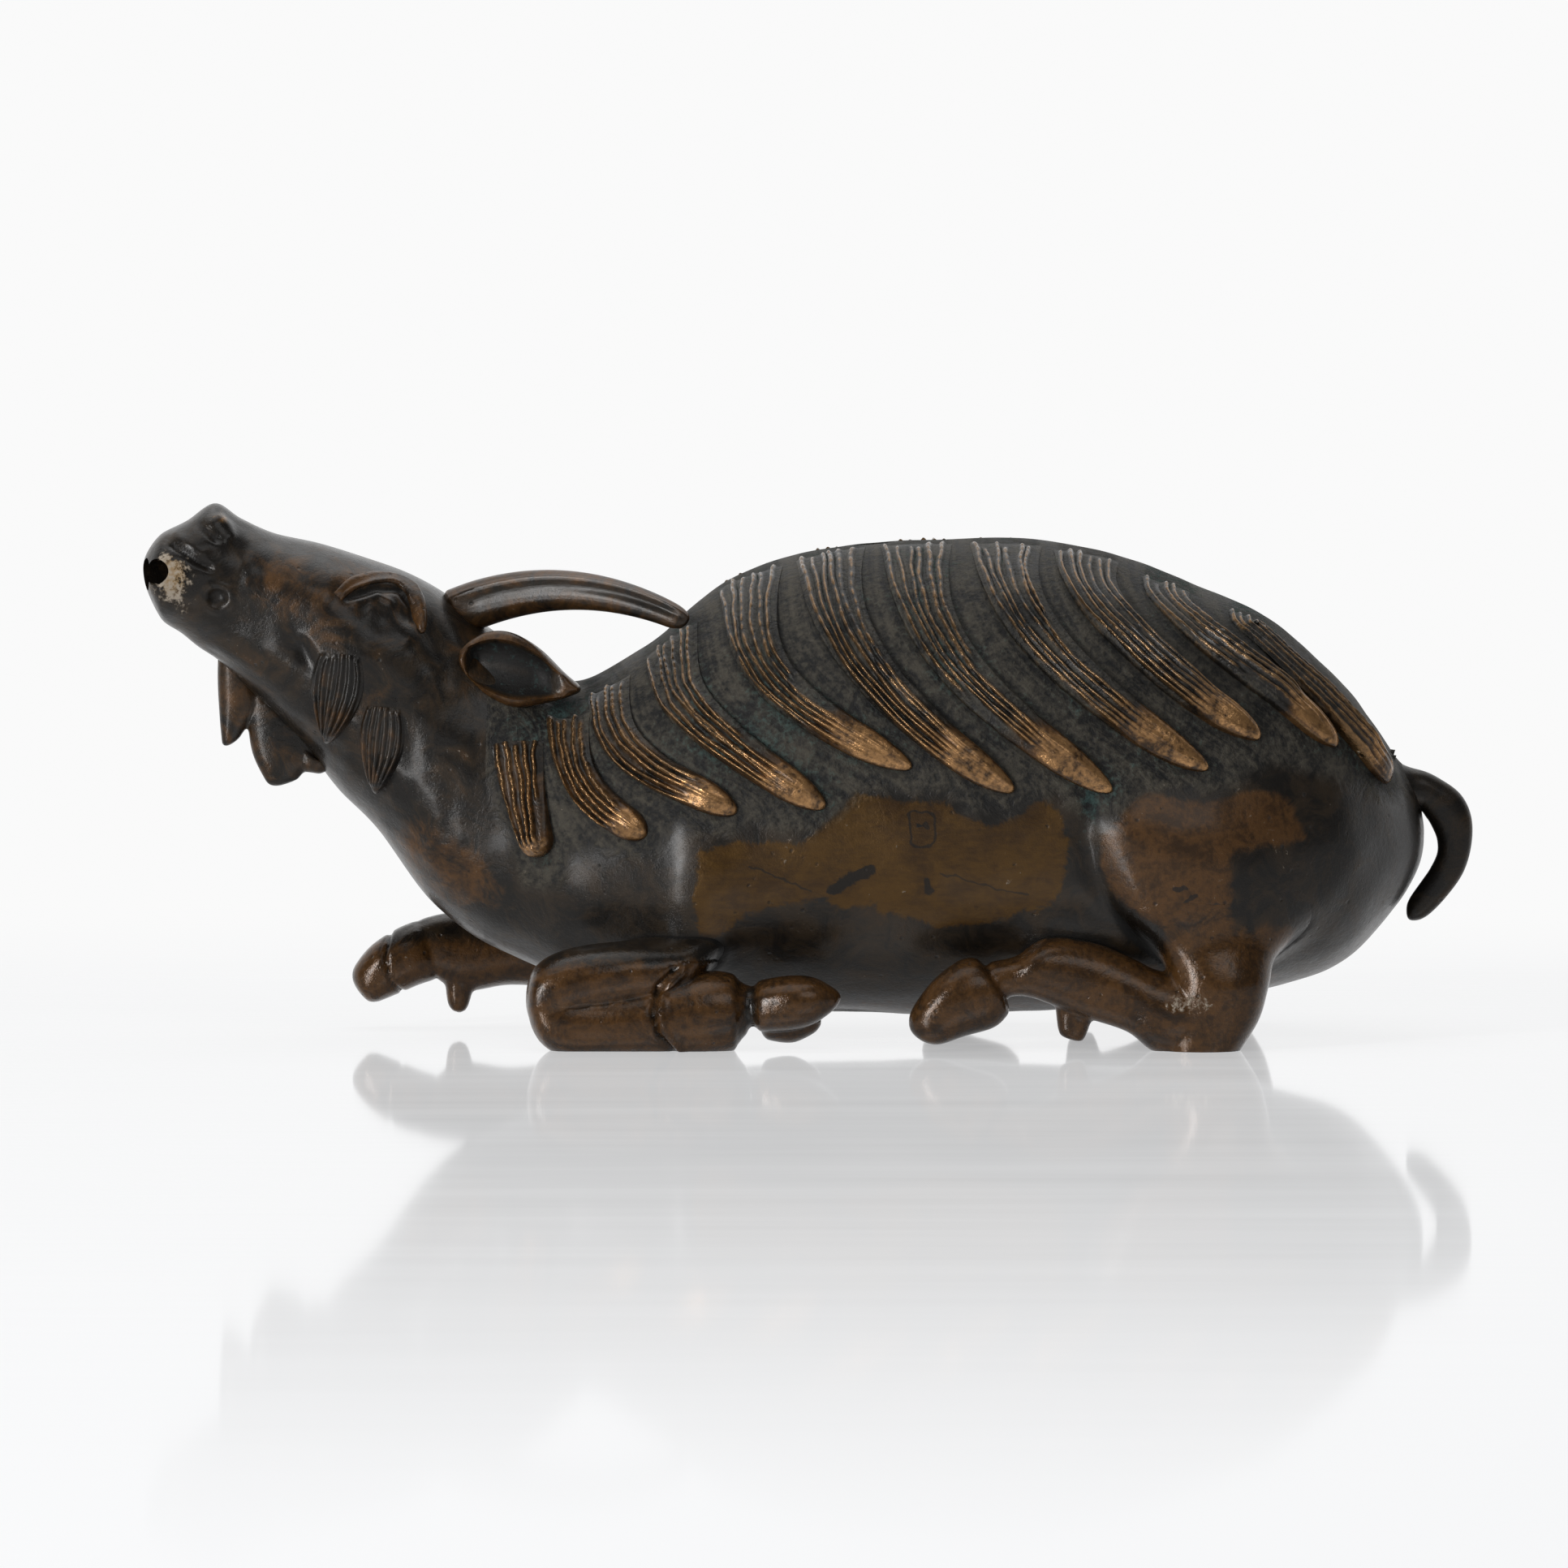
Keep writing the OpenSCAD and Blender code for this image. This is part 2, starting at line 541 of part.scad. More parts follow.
module thigh_and_shank() {
    // How far the thigh stands off the flank, as a share of the half track.
    off = thigh_out / (1.25 * body_w);
    leg([[69, 25.8, 84, 27, 0.8 + off, 3], [65.8, 23, 88, 23.5, 0.88 + off, 4],
        [65.1, 18.8, 88.4, 18.4, 0.92 + off, 4.8], [67, 14.6, 86.4, 14, 0.96 + off, 4.8],
        [70.6, 10.8, 83.4, 10.2, 1.01, 4.6], [74.6, 7.2, 82, 6.6, 1.02, 4.4],
        [76, 3.8, 81.8, 3.4, 1.02, 4.2], [75.4, -0.6, 80.4, -0.4, 1.02, 3.8]], 9, 0.12, 0, 12);
    leg([[78, 7, 81, -0.8, 1.02, 3.8], [71.3, 8.1, 71, -0.4, 1.03, 3.5], [67.8, 9.5, 67.2, 2, 1.04, 3],
        [63.6, 11, 62.4, 3.6, 1.05, 2.8], [59, 11.5, 57.2, 5.6, 1.06, 2.9],
        [55.8, 9.8, 54.6, 5.6, 1.06, 2.4], [52.4, 9.2, 54, 5.2, 1.06, 2.4]], 6, 0.06, 0.05);
    leg([[52, 9.6, 55.4, 4.6, 1.07, 2.9], [49.9, 9.5, 53.6, 2.6, 1.08, 3.2],
        [47.4, 7.8, 50.4, 1.6, 1.09, 3.1], [45.4, 5.4, 47.4, 0.7, 1.1, 2.4],
        [44.2, 3.2, 45, 1.4, 1.1, 1.2]], 4, 0.1, 0.14);
    leg([[59.6, 6, 64, 4.6, 1.02, 1.6], [60, 2.4, 63, 1.6, 1.02, 1.3], [60.4, 1.4, 62.4, 0.8, 1.02, 0.8]],
        3, 0, 0.2);
}

module near_hind_leg() {
    color(worn) seated(seam_x + 35 * along, on_table = true) thigh_and_shank();
}

module far_hind_leg() {
    color(worn) seated(seam_x + 35 * along, on_table = true)
        translate([1.8 * along, 0, 0]) far_side() thigh_and_shank();
}

// The far foreleg rests on its elbow and reaches forward under the chest.
module far_foreleg() {
    color(worn) seated(seam_x - 1, seam_x + 45 * along, 3, true) far_side() {
        leg([[24, 12, 26, -0.6, 0.88, 4], [15, 13, 15, -0.4, 0.87, 4.4], [7.4, 12.6, 7, 3.6, 0.84, 3.9],
            [2.4, 12.3, 2.4, 4.4, 0.8, 3.4], [-2.4, 12.4, -2, 3.8, 0.76, 3.1],
            [-5.4, 12, -4.6, 4.6, 0.73, 2.9], [-7.6, 11.4, -5.6, 5.4, 0.71, 2.6]], 6, 0.05, 0.05);
        leg([[-7, 11.6, -5.2, 5.2, 0.71, 2.9], [-9.6, 10.6, -7.2, 4.6, 0.7, 3.3],
            [-12.4, 8.8, -9.6, 3.6, 0.69, 3.2], [-14.2, 6.6, -12, 2.7, 0.68, 2.4],
            [-14.6, 5, -13.2, 3, 0.68, 1.2]], 4, 0.1, 0.14);
        leg([[-4.6, 5.4, -1.4, 5.2, 0.72, 1.5], [-4.4, 2.8, -2, 2.6, 0.72, 1.2],
            [-3.8, 1.6, -2.6, 1.5, 0.72, 0.7]], 3, 0, 0.2);
    }
}

// The tail curls out from the rump and back in to touch it.
module tail() {
    rows = [[-3.5, 28.6, -3.5, 25.2], [-0.4, 28.2, -0.6, 24.4], [1.8, 27.2, 0.4, 23.2], [3.9, 25.6, 1, 22],
        [5.1, 23.3, 1.4, 20.8], [5.2, 20.4, 1.4, 19.4], [4.2, 17.4, 0.7, 17.8], [2.4, 14.8, -0.2, 16.4],
        [0.4, 12.8, -1.4, 14.6], [-1.4, 12, -2, 13.2]];
    drawn_rows = [for (i = [0:len(rows) - 1]) let (r = rows[i])
        [rump_x + r[0] * along, r[1] * upward, rump_x + r[2] * along, r[3] * upward, 0,
            tail_d / 2 * (1 - 0.05 * i), 0.5]];
    color(patina) seated(seam_x + 80 * along) limb(drawn_rows, 12, 10, 0, 0.08);
}

// The oblong core opening under the belly, drawn in by g for the plate that closes it.
core_x = seam_x + 0.44 * body_len;
module core_cut(g) {
    d = core_w - 2 * g;
    run = (core_len - core_w) / 2;
    translate([core_x, 0, -1]) linear_extrude(height = belly_gap + wall + 4) {
        square([2 * run, d], center = true);
        for (side = [-1, 1]) translate([side * run, 0]) circle(d = d, $fn = 32);
    }
}

// The stretch of cast wall between the body's outer form and its cavity.
module wall_form() {
    difference() {
        body_form();
        cavity();
    }
}

module belly_plate() {
    color(patina) intersection() {
        core_cut(patch_fit);
        wall_form();
    }
}

// A patch of wall where a core pin was let out, on the near flank.
patch_x = seam_x + 0.47 * body_len;
patch_z = belly_gap + 0.42 * back_h;
module flank_cut(g) {
    translate([patch_x, -body_w / 2, patch_z])
        cube([patch_len - 2 * g, body_w / 2, patch_h - 2 * g], center = true);
}

module near_flank_patch() {
    color(worn) intersection() {
        flank_cut(patch_fit);
        wall_form();
    }
}

body_shell();
head_and_neck();
horn();
near_ear();
far_ear();
beard();
near_brow();
far_brow();
near_front_cheek_tuft();
near_rear_cheek_tuft();
far_front_cheek_tuft();
far_rear_cheek_tuft();
near_foreleg();
far_foreleg();
near_hind_leg();
far_hind_leg();
tail();
belly_plate();
near_flank_patch();
far_side() near_flank_patch();  // far_flank_patch
for (i = [0:len(LOCKS) - 1]) mane_lock(i);
for (i = [0:len(LOCKS) - 1]) mane_lock(i, true);
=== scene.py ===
import math

import bpy
import numpy as np
from bpy.props import FloatProperty, FloatVectorProperty, IntProperty, PointerProperty
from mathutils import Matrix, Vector
from mathutils.bvhtree import BVHTree
from mathutils.kdtree import KDTree


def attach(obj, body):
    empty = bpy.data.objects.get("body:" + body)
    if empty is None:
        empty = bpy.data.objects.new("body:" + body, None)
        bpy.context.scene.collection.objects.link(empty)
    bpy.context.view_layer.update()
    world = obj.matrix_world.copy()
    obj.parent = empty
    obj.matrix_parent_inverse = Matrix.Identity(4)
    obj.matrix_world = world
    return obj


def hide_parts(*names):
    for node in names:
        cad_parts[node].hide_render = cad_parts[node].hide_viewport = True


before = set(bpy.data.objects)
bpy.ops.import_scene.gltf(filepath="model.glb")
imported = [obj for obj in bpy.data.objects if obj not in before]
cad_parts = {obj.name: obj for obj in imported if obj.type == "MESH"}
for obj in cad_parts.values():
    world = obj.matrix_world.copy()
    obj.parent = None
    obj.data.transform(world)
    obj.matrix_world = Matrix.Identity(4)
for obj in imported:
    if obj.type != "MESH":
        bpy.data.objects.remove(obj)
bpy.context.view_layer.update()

bl_info = {
    "name": "Bronze water dropper",
    "version": (1, 0, 0),
    "blender": (4, 5, 0),
    "location": "View3D > Sidebar > Dropper",
    "description": "Dresses the packed model of a bronze water dropper shaped as a lying beast",
    "category": "Object",
}

MM = 0.001

# Sizes of the casting in mm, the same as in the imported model.
SEAM_X = -34.0
BODY_LEN = 99.0
BACK_H = 52.4
BODY_W = 48.0
BELLY_GAP = 2.6
RUMP_ROUND = 11.0
RUMP_X = SEAM_X + BODY_LEN
HEAD_TURN = 7.0
TRACK_W = 41.0
FULLNESS = 2.2
LOCK_W = 6.8
LOCK_TIP_W = 3.4

# The body in rows from the neck seam to the rump: top and bottom as shares of the back's height, half width
# as a share of the body's, and the level of the widest place.
BODY = np.array([
    [0.830, 0.134, 0.54, 0.48], [0.717, 0.073, 0.65, 0.46], [0.785, 0.042, 0.77, 0.44],
    [0.906, 0.019, 0.875, 0.42], [0.971, 0.004, 0.94, 0.42], [0.998, 0.000, 0.98, 0.42],
    [1.004, 0.000, 1.00, 0.42], [1.000, 0.008, 1.00, 0.42], [0.970, 0.013, 0.98, 0.42],
    [0.916, 0.019, 0.93, 0.43], [0.845, 0.052, 0.84, 0.44], [0.716, 0.100, 0.70, 0.46],
    [0.600, 0.170, 0.52, 0.48]])
# The head in rows from the muzzle to the neck: top x and z, bottom x and z behind the seam, half width, and
# the level of the widest place.
HEAD = np.array([
    [-36.0, 51.8, -35.4, 46.4, 4.8, 0.50], [-33.8, 53.4, -33.7, 44.2, 5.8, 0.50],
    [-31.2, 54.7, -31.8, 42.9, 6.2, 0.50], [-28.3, 56.5, -30.0, 41.4, 6.4, 0.50],
    [-25.6, 54.9, -27.7, 39.8, 6.8, 0.52], [-22.1, 53.3, -25.1, 37.2, 7.8, 0.56],
    [-17.4, 52.2, -21.7, 33.8, 9.4, 0.60], [-12.7, 50.7, -18.3, 30.0, 10.8, 0.62],
    [-8.3, 49.1, -15.3, 26.1, 11.6, 0.60], [-4.6, 47.1, -11.3, 22.0, 12.0, 0.56],
    [-2.0, 45.0, -5.9, 14.6, 12.6, 0.52]])
LOCK_NAMES = ("ruff", "neck_front", "neck_rear", "withers", "shoulder", "back_1", "back_2", "back_3",
              "loin", "croup", "rump")
# The locks: place of the root and of the tip in mm behind the seam, levels of root and tip, how the line
# bends, and the width as a share.
LOCKS = (
    (3.6, 6.3, 0.48, -0.12, 1.6, 0.74), (8.9, 17.3, 0.80, 0.07, 2.6, 0.62),
    (13.2, 26.6, 0.90, 0.10, 2.4, 0.68), (19.8, 35.8, 0.92, 0.08, 2.2, 0.9),
    (28.0, 44.8, 0.955, 0.21, 2.7, 0.96), (36.4, 55.4, 0.955, 0.12, 2.0, 0.98),
    (45.4, 65.6, 0.955, 0.14, 2.1, 1.0), (54.8, 75.6, 0.955, 0.27, 2.0, 1.0),
    (63.2, 81.1, 0.95, 0.44, 1.7, 0.92), (71.6, 89.3, 0.94, 0.58, 1.4, 0.7),
    (80.3, 94.8, 0.93, 0.62, 0.8, 0.64))


# Curves and sections.

def spline(rows, t):
    """Smooth values between the rows of a table, at the places t."""
    rows, t = np.asarray(rows, float), np.atleast_1d(np.asarray(t, float))
    last = len(rows) - 1
    i = np.clip(np.floor(t).astype(int), 0, last - 1)
    f = (t - i)[:, None]
    a, b, c, d = rows[np.maximum(i - 1, 0)], rows[i], rows[i + 1], rows[np.minimum(i + 2, last)]
    return 0.5 * (2 * b + (c - a) * f + (2 * a - 5 * b + 4 * c - d) * f ** 2
                  + (3 * b - a - 3 * c + d) * f ** 3)


def ease(u, e):
    """Share of full size at distance u from an end that rounds off over e."""
    return np.where(u >= e, 1.0, np.sqrt(np.clip(1 - (1 - np.clip(u, 0, e) / e) ** 2, 0, 1)))


def drawn(rows, k, g=0.0):
    """Section rows drawn in to the share k of their size and grown by g."""
    k = np.broadcast_to(k, (len(rows),))
    mid = rows[:, 2:4] + (rows[:, 0:2] - rows[:, 2:4]) * rows[:, 6:7]
    up, down = rows[:, 0:2] - mid, rows[:, 2:4] - mid
    nu, nd = np.linalg.norm(up, axis=1), np.linalg.norm(down, axis=1)
    out = rows.copy()
    out[:, 0:2] = mid + up * (k * (nu + g) / nu)[:, None]
    out[:, 2:4] = mid + down * (k * (nd + g) / nd)[:, None]
    out[:, 5] = k * (rows[:, 5] + g)
    return out


def rim(rows, a):
    """Points of section rows at the angles a: 0 on the near side, 90 on top."""
    a = np.radians(np.asarray(a, float))
    c, s = np.cos(a), np.sin(a)
    k = (np.abs(c) ** FULLNESS + np.abs(s) ** FULLNESS) ** (-1 / FULLNESS)
    if a.ndim == 1:
        rows = rows[:, None, :]
        c, s, k = c[None], s[None], k[None]
    level = rows[..., 6] + np.where(s > 0, 1 - rows[..., 6], rows[..., 6]) * s * k
    x = rows[..., 2] + (rows[..., 0] - rows[..., 2]) * level
    z = rows[..., 3] + (rows[..., 1] - rows[..., 3]) * level
    y = rows[..., 4] - rows[..., 5] * c * k
    return np.stack([x, y, z], axis=-1)


def body_rows(x):
    x = np.atleast_1d(np.asarray(x, float))
    r = spline(BODY, np.minimum(1, (x - SEAM_X) / BODY_LEN) * (len(BODY) - 1))
    rows = np.stack([x, BACK_H * r[:, 0], x, BELLY_GAP + BACK_H * r[:, 1], 0 * x, r[:, 2] * BODY_W / 2,
                     r[:, 3]], 1)
    return drawn(rows, ease(np.maximum(RUMP_X - x, 0.0), RUMP_ROUND))


def head_rows(t):
    reach = -(HEAD[:, 0] + HEAD[:, 2]) / 2
    rows = np.stack([SEAM_X + HEAD[:, 0], HEAD[:, 1], SEAM_X + HEAD[:, 2], HEAD[:, 3],
                     -HEAD_TURN * (reach / 36) ** 1.6, HEAD[:, 4], HEAD[:, 5]], 1)
    rows = np.concatenate([rows, body_rows(SEAM_X)])
    t = np.atleast_1d(np.asarray(t, float))
    return drawn(spline(rows, t), ease(t, 1.1))


def level_angle(v):
    return np.degrees(np.arctan2(v, (1 - np.abs(v) ** FULLNESS) ** (1 / FULLNESS)))


def angle_level(a):
    c, s = np.cos(np.radians(a)), np.sin(np.radians(a))
    return s * (np.abs(c) ** FULLNESS + np.abs(s) ** FULLNESS) ** (-1 / FULLNESS)


class Skin:
    """A skin of rings: gives its point at any place along it and any angle round it."""

    def __init__(self, grid, places):
        self.grid, self.places = grid, places

    def __call__(self, s, a):
        s, a = np.broadcast_arrays(np.asarray(s, float), np.asarray(a, float))
        sides = self.grid.shape[1]
        row = np.interp(s, self.places, np.arange(len(self.places)))
        col = (a % 360) * sides / 360
        i, j = np.clip(row.astype(int), 0, len(self.grid) - 2), col.astype(int) % sides
        f, g = (row - i)[..., None], (col - col.astype(int))[..., None]
        k = (j + 1) % sides
        near = self.grid[i, j] * (1 - g) + self.grid[i, k] * g
        far = self.grid[i + 1, j] * (1 - g) + self.grid[i + 1, k] * g
        return near * (1 - f) + far * f

    def slopes(self, s, a):
        return (self(s + 0.3, a) - self(s - 0.3, a)) / 0.6, (self(s, a + 2) - self(s, a - 2)) / 4

    def out(self, s, a):
        p, q = self.slopes(s, a)
        return unit(np.cross(p, q))


# Swells of shoulder and haunch: place behind the seam and height, reach ahead, behind, down and up, rise.
SWELLS = ((22.0, 13.5, 7.0, 9.0, 9.0, 9.5, 1.9), (77.0, 17.0, 9.0, 11.0, 12.0, 9.0, 1.6))


def bell(d, low, high):
    """1 at 0, falling off over low on the side below 0 and over high above it."""
    return np.exp(-(d / np.where(d < 0, low, high)) ** 2)


def swelled(grid, angles):
    """Rings of the body moved sideways by the swells of shoulder and haunch."""
    x, z = grid[..., 0] - SEAM_X, grid[..., 2]
    rise = sum(s[6] * bell(x - s[0], s[2], s[3]) * bell(z - s[1], s[4], s[5]) for s in SWELLS)
    out = grid.copy()
    out[..., 1] -= np.cos(np.radians(angles))[None] * rise
    return out


def unit(v):
    return v / np.maximum(np.linalg.norm(v, axis=-1, keepdims=True), 1e-9)


def smooth(x, lo, hi):
    """0 below lo, 1 above hi, with a soft change between."""
    t = np.clip((x - lo) / (hi - lo), 0, 1)
    return t * t * (3 - 2 * t)


def waves(p, scale, seed=0):
    """Soft unevenness between -1 and 1 at points p in mm, from crossed waves of one length."""
    rng = np.random.RandomState(seed)
    total = np.zeros(p.shape[:-1])
    for _ in range(9):
        d = unit(rng.normal(size=3)) * 2 * math.pi / scale * rng.uniform(0.6, 1.5)
        total += np.sin(p @ d + rng.uniform(0, 6.28))
    return total / 4.2


def near_line(p, line):
    """Distance of points (x, z) from a polyline, and the share of its length at the nearest place."""
    line = np.asarray(line, float)
    seg = np.linalg.norm(np.diff(line, axis=0), axis=1)
    start = np.concatenate([[0], np.cumsum(seg)])
    best = np.full(p.shape[:-1], 1e9)
    along = np.zeros(p.shape[:-1])
    for i, n in enumerate(seg):
        d = (line[i + 1] - line[i]) / n
        u = np.clip((p - line[i]) @ d, 0, n)
        gap = np.linalg.norm(p - line[i] - u[..., None] * d, axis=-1)
        closer = gap < best
        best = np.where(closer, gap, best)
        along = np.where(closer, (start[i] + u) / start[-1], along)
    return best, along


# The picture is 1932 by 1932: mm to a pixel, the column at x 0 and the row of the table under the middle.
PIXEL, COLUMN_0, TABLE_ROW = 0.08563, 995.5, 1278


def spot(px, py, drop=5):
    """Place in the side view, in mm, of a point of the picture. The table is seen drop rows lower at the
    depth of the point: 5 on the near flank, 12 at the near feet."""
    return np.array([(px - COLUMN_0) * PIXEL, (TABLE_ROW + drop - py) * PIXEL])


def spots(points, drop=5):
    return [spot(x, y, drop) for x, y in points]


def within(p, outline, soft=1.0, drop=5):
    """1 inside an outline drawn on the side view, 0 outside it, with an edge soft mm wide."""
    side, line = p[..., [0, 2]], spots(outline, drop)
    line.append(line[0])
    gap, _ = near_line(side, line)
    x, z = side[..., 0], side[..., 1]
    inside = np.zeros(x.shape, bool)
    for (x0, z0), (x1, z1) in zip(line, line[1:]):
        crosses = (z0 > z) != (z1 > z)
        inside ^= crosses & (x < x0 + (z - z0) * (x1 - x0) / (z1 - z0 + 1e-9))
    return smooth(np.where(inside, gap, -gap), -soft / 2, soft / 2)


# Meshes.

def put(vertices, obj):
    obj.data.vertices.foreach_set("co", (vertices.reshape(-1, 3) * MM).astype(np.float32).ravel())
    obj.data.update()


def points(obj):
    co = np.empty(len(obj.data.vertices) * 3, np.float32)
    obj.data.vertices.foreach_get("co", co)
    return co.reshape(-1, 3).astype(float) / MM


def normals(obj):
    n = np.empty(len(obj.data.vertices) * 3, np.float32)
    obj.data.vertex_normals.foreach_get("vector", n)
    return n.reshape(-1, 3).astype(float)


def only(*objs):
    """Selects these objects and nothing else."""
    for o in bpy.context.selected_objects:
        o.select_set(False)
    for o in objs:
        o.select_set(True)
    if objs:
        bpy.context.view_layer.objects.active = objs[0]


def wrapped(name, grid):
    """A closed skin over a grid of points: rows are rings, and the end rings are closed."""
    m, n = grid.shape[:2]
    only()
    bpy.ops.mesh.primitive_grid_add(x_subdivisions=n, y_subdivisions=m - 1, size=1)
    obj = bpy.context.active_object
    obj.name = obj.data.name = name
    put(np.concatenate([grid, grid[:, :1]], axis=1), obj)
    bpy.ops.object.mode_set(mode="EDIT")
    bpy.ops.mesh.select_all(action="SELECT")
    bpy.ops.mesh.remove_doubles(threshold=2e-7)
    bpy.ops.mesh.select_all(action="DESELECT")
    bpy.ops.mesh.select_non_manifold()
    bpy.ops.mesh.fill_holes(sides=0)
    bpy.ops.mesh.select_all(action="SELECT")
    bpy.ops.mesh.normals_make_consistent(inside=False)
    bpy.ops.object.mode_set(mode="OBJECT")
    return obj


def applied(obj, kind, **settings):
    only(obj)
    mod = obj.modifiers.new(kind.title(), kind)
    for key, value in settings.items():
        setattr(mod, key, value)
    bpy.ops.object.modifier_apply(modifier=mod.name)


def fused(name, objs, voxel, rounds):
    """Closed forms fused into one soft skin, the way wax forms are melted together."""
    only(*objs)
    bpy.ops.object.join()
    obj = bpy.context.active_object
    obj.name = obj.data.name = name
    applied(obj, "REMESH", mode="VOXEL", voxel_size=voxel * MM)
    applied(obj, "SMOOTH", factor=0.5, iterations=rounds)
    return obj


def spread(obj, values, times):
    """Averages values over neighbouring points of a mesh."""
    n = len(obj.data.vertices)
    e = np.empty(len(obj.data.edges) * 2, np.int32)
    obj.data.edges.foreach_get("vertices", e)
    e = e.reshape(-1, 2)
    i, j = np.concatenate([e[:, 0], e[:, 1]]), np.concatenate([e[:, 1], e[:, 0]])
    count = np.maximum(np.bincount(i, minlength=n), 1)
    values = values.reshape(n, -1).copy()
    for _ in range(times):
        sums = [np.bincount(i, weights=column[j], minlength=n) for column in values.T]
        values = np.stack(sums, 1) / count[:, None]
    return values


def store(obj, name, values):
    attr = obj.data.attributes.get(name) or obj.data.attributes.new(name, "FLOAT", "POINT")
    attr.data.foreach_set("value", np.broadcast_to(values, (len(obj.data.vertices),)).astype(np.float32))


def mark_wear_and_shade(obj, reach=8, height=0.12, wear=1.0, edge=0.0, dip=0.0, strand=0.0, **areas):
    """Stores where the form stands out (edge) and lies deep (dip), and the shares of rubbed metal, of brown
    and golden patina, of lime scale and of coarse ground. Edge and dip add to what the form itself shows,
    and wear says how much the form's own edges show. Dip is painted shade: the finish darkens it to
    near-black and draws verdigris into it."""
    p = points(obj)
    n = normals(obj)
    out = ((p - spread(obj, p, reach)) * n).sum(1)
    store(obj, "edge", np.clip(wear * smooth(out, 0.1 * height, height) + edge, 0, 1))
    store(obj, "dip", np.clip(np.minimum(1, 2 * wear) * smooth(-out, 0.1 * height, height) + dip, 0, 1))
    store(obj, "strand", strand)
    for name in ("rub", "brown", "gold", "lime", "coarse"):
        store(obj, name, np.clip(areas.get(name, 0.0), 0, 1))


def finished(obj, finish, nodes, angle=40):
    """Smooth shading, the material, the body it rides on, and the nodes it stands for."""
    only(obj)
    bpy.ops.object.shade_smooth_by_angle(angle=math.radians(angle))
    obj.data.materials.clear()
    obj.data.materials.append(finish)
    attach(obj, "root")
    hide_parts(*nodes)


# Shader maths.

class Value:
    """A number that varies over a surface. Sums and products of it add Math nodes."""

    def __init__(self, shader, socket):
        self.shader, self.socket = shader, socket

    def _math(self, operation, *others):
        node = self.shader.node("ShaderNodeMath", {"operation": operation}, others)
        return Value(self.shader, node.outputs[0])

    def __add__(self, other): return self._math("ADD", self, other)
    def __radd__(self, other): return self._math("ADD", other, self)
    def __sub__(self, other): return self._math("SUBTRACT", self, other)
    def __rsub__(self, other): return self._math("SUBTRACT", other, self)
    def __mul__(self, other): return self._math("MULTIPLY", self, other)
    def __rmul__(self, other): return self._math("MULTIPLY", other, self)
    def __pow__(self, other): return self._math("POWER", self, other)

    def size(self): return self._math("ABSOLUTE", self)
    def most(self, other): return self._math("MAXIMUM", self, other)
    def least(self, other): return self._math("MINIMUM", self, other)

    def step(self, low, high, to_low=0.0, to_high=1.0):
        node = self.shader.node("ShaderNodeMapRange", {"interpolation_type": "SMOOTHSTEP"},
                                (self, low, high, to_low, to_high))
        return Value(self.shader, node.outputs[0])


class Shader:
    """The node tree of a material or world, with a method for each kind of node that it uses."""

    def __init__(self, owner, output="ShaderNodeOutputMaterial"):
        self.owner, self.output = owner, output
        owner.use_nodes = True
        self.tree = owner.node_tree
        self.tree.nodes.clear()
        self.coordinates = self.node("ShaderNodeTexCoord", {}, ())
        self.place = self.coordinates.outputs["Object"]

    def node(self, kind, settings, inputs):
        """Adds a node. Inputs are numbers, colours, sockets, Values or nodes, whose first output is taken."""
        node = self.tree.nodes.new(kind)
        for key, value in settings.items():
            setattr(node, key, value)
        for key, value in inputs.items() if isinstance(inputs, dict) else enumerate(inputs):
            if isinstance(value, Value):
                value = value.socket
            if isinstance(value, bpy.types.Node):
                value = value.outputs[0]
            if isinstance(value, bpy.types.NodeSocket):
                self.tree.links.new(value, node.inputs[key])
            else:
                node.inputs[key].default_value = value
        return node

    def attribute(self, name):
        return Value(self, self.node("ShaderNodeAttribute", {"attribute_name": name}, ()).outputs["Fac"])

    def axis(self, name):
        """The place along one axis in mm."""
        node = self.node("ShaderNodeSeparateXYZ", {}, (self.place,))
        return Value(self, node.outputs[name]) * 1000

    def stretched(self, scale):
        return self.node("ShaderNodeVectorMath", {"operation": "MULTIPLY"}, (self.place, scale))

    def noise(self, per_metre, detail=4.0, rough=0.55, place=None, warp=0.0):
        node = self.node("ShaderNodeTexNoise", {}, {
            "Vector": place or self.place, "Scale": per_metre, "Detail": detail, "Roughness": rough,
            "Distortion": warp})
        return Value(self, node.outputs["Fac"])

    def cells(self, per_metre):
        node = self.node("ShaderNodeTexVoronoi", {}, {"Vector": self.place, "Scale": per_metre})
        return Value(self, node.outputs["Distance"])

    def mix(self, share, *colours):
        """Two colours mixed: 0 gives the first, 1 the second."""
        a, b = ((*c, 1) if isinstance(c, tuple) else c for c in colours)
        return self.node("ShaderNodeMix", {"data_type": "RGBA"}, {0: share, 6: a, 7: b}).outputs[2]

    def seen(self, mirrored=1):
        """1 for what the camera sees, and the share mirrored for what shiny and clear things show of it."""
        path = self.node("ShaderNodeLightPath", {}, ()).outputs
        shown = Value(self, path["Is Glossy Ray"]).most(Value(self, path["Is Transmission Ray"]))
        return Value(self, path["Is Camera Ray"]).most(shown * mirrored)

    def finish(self, shader):
        self.node(self.output, {}, {"Surface": shader})
        return self.owner


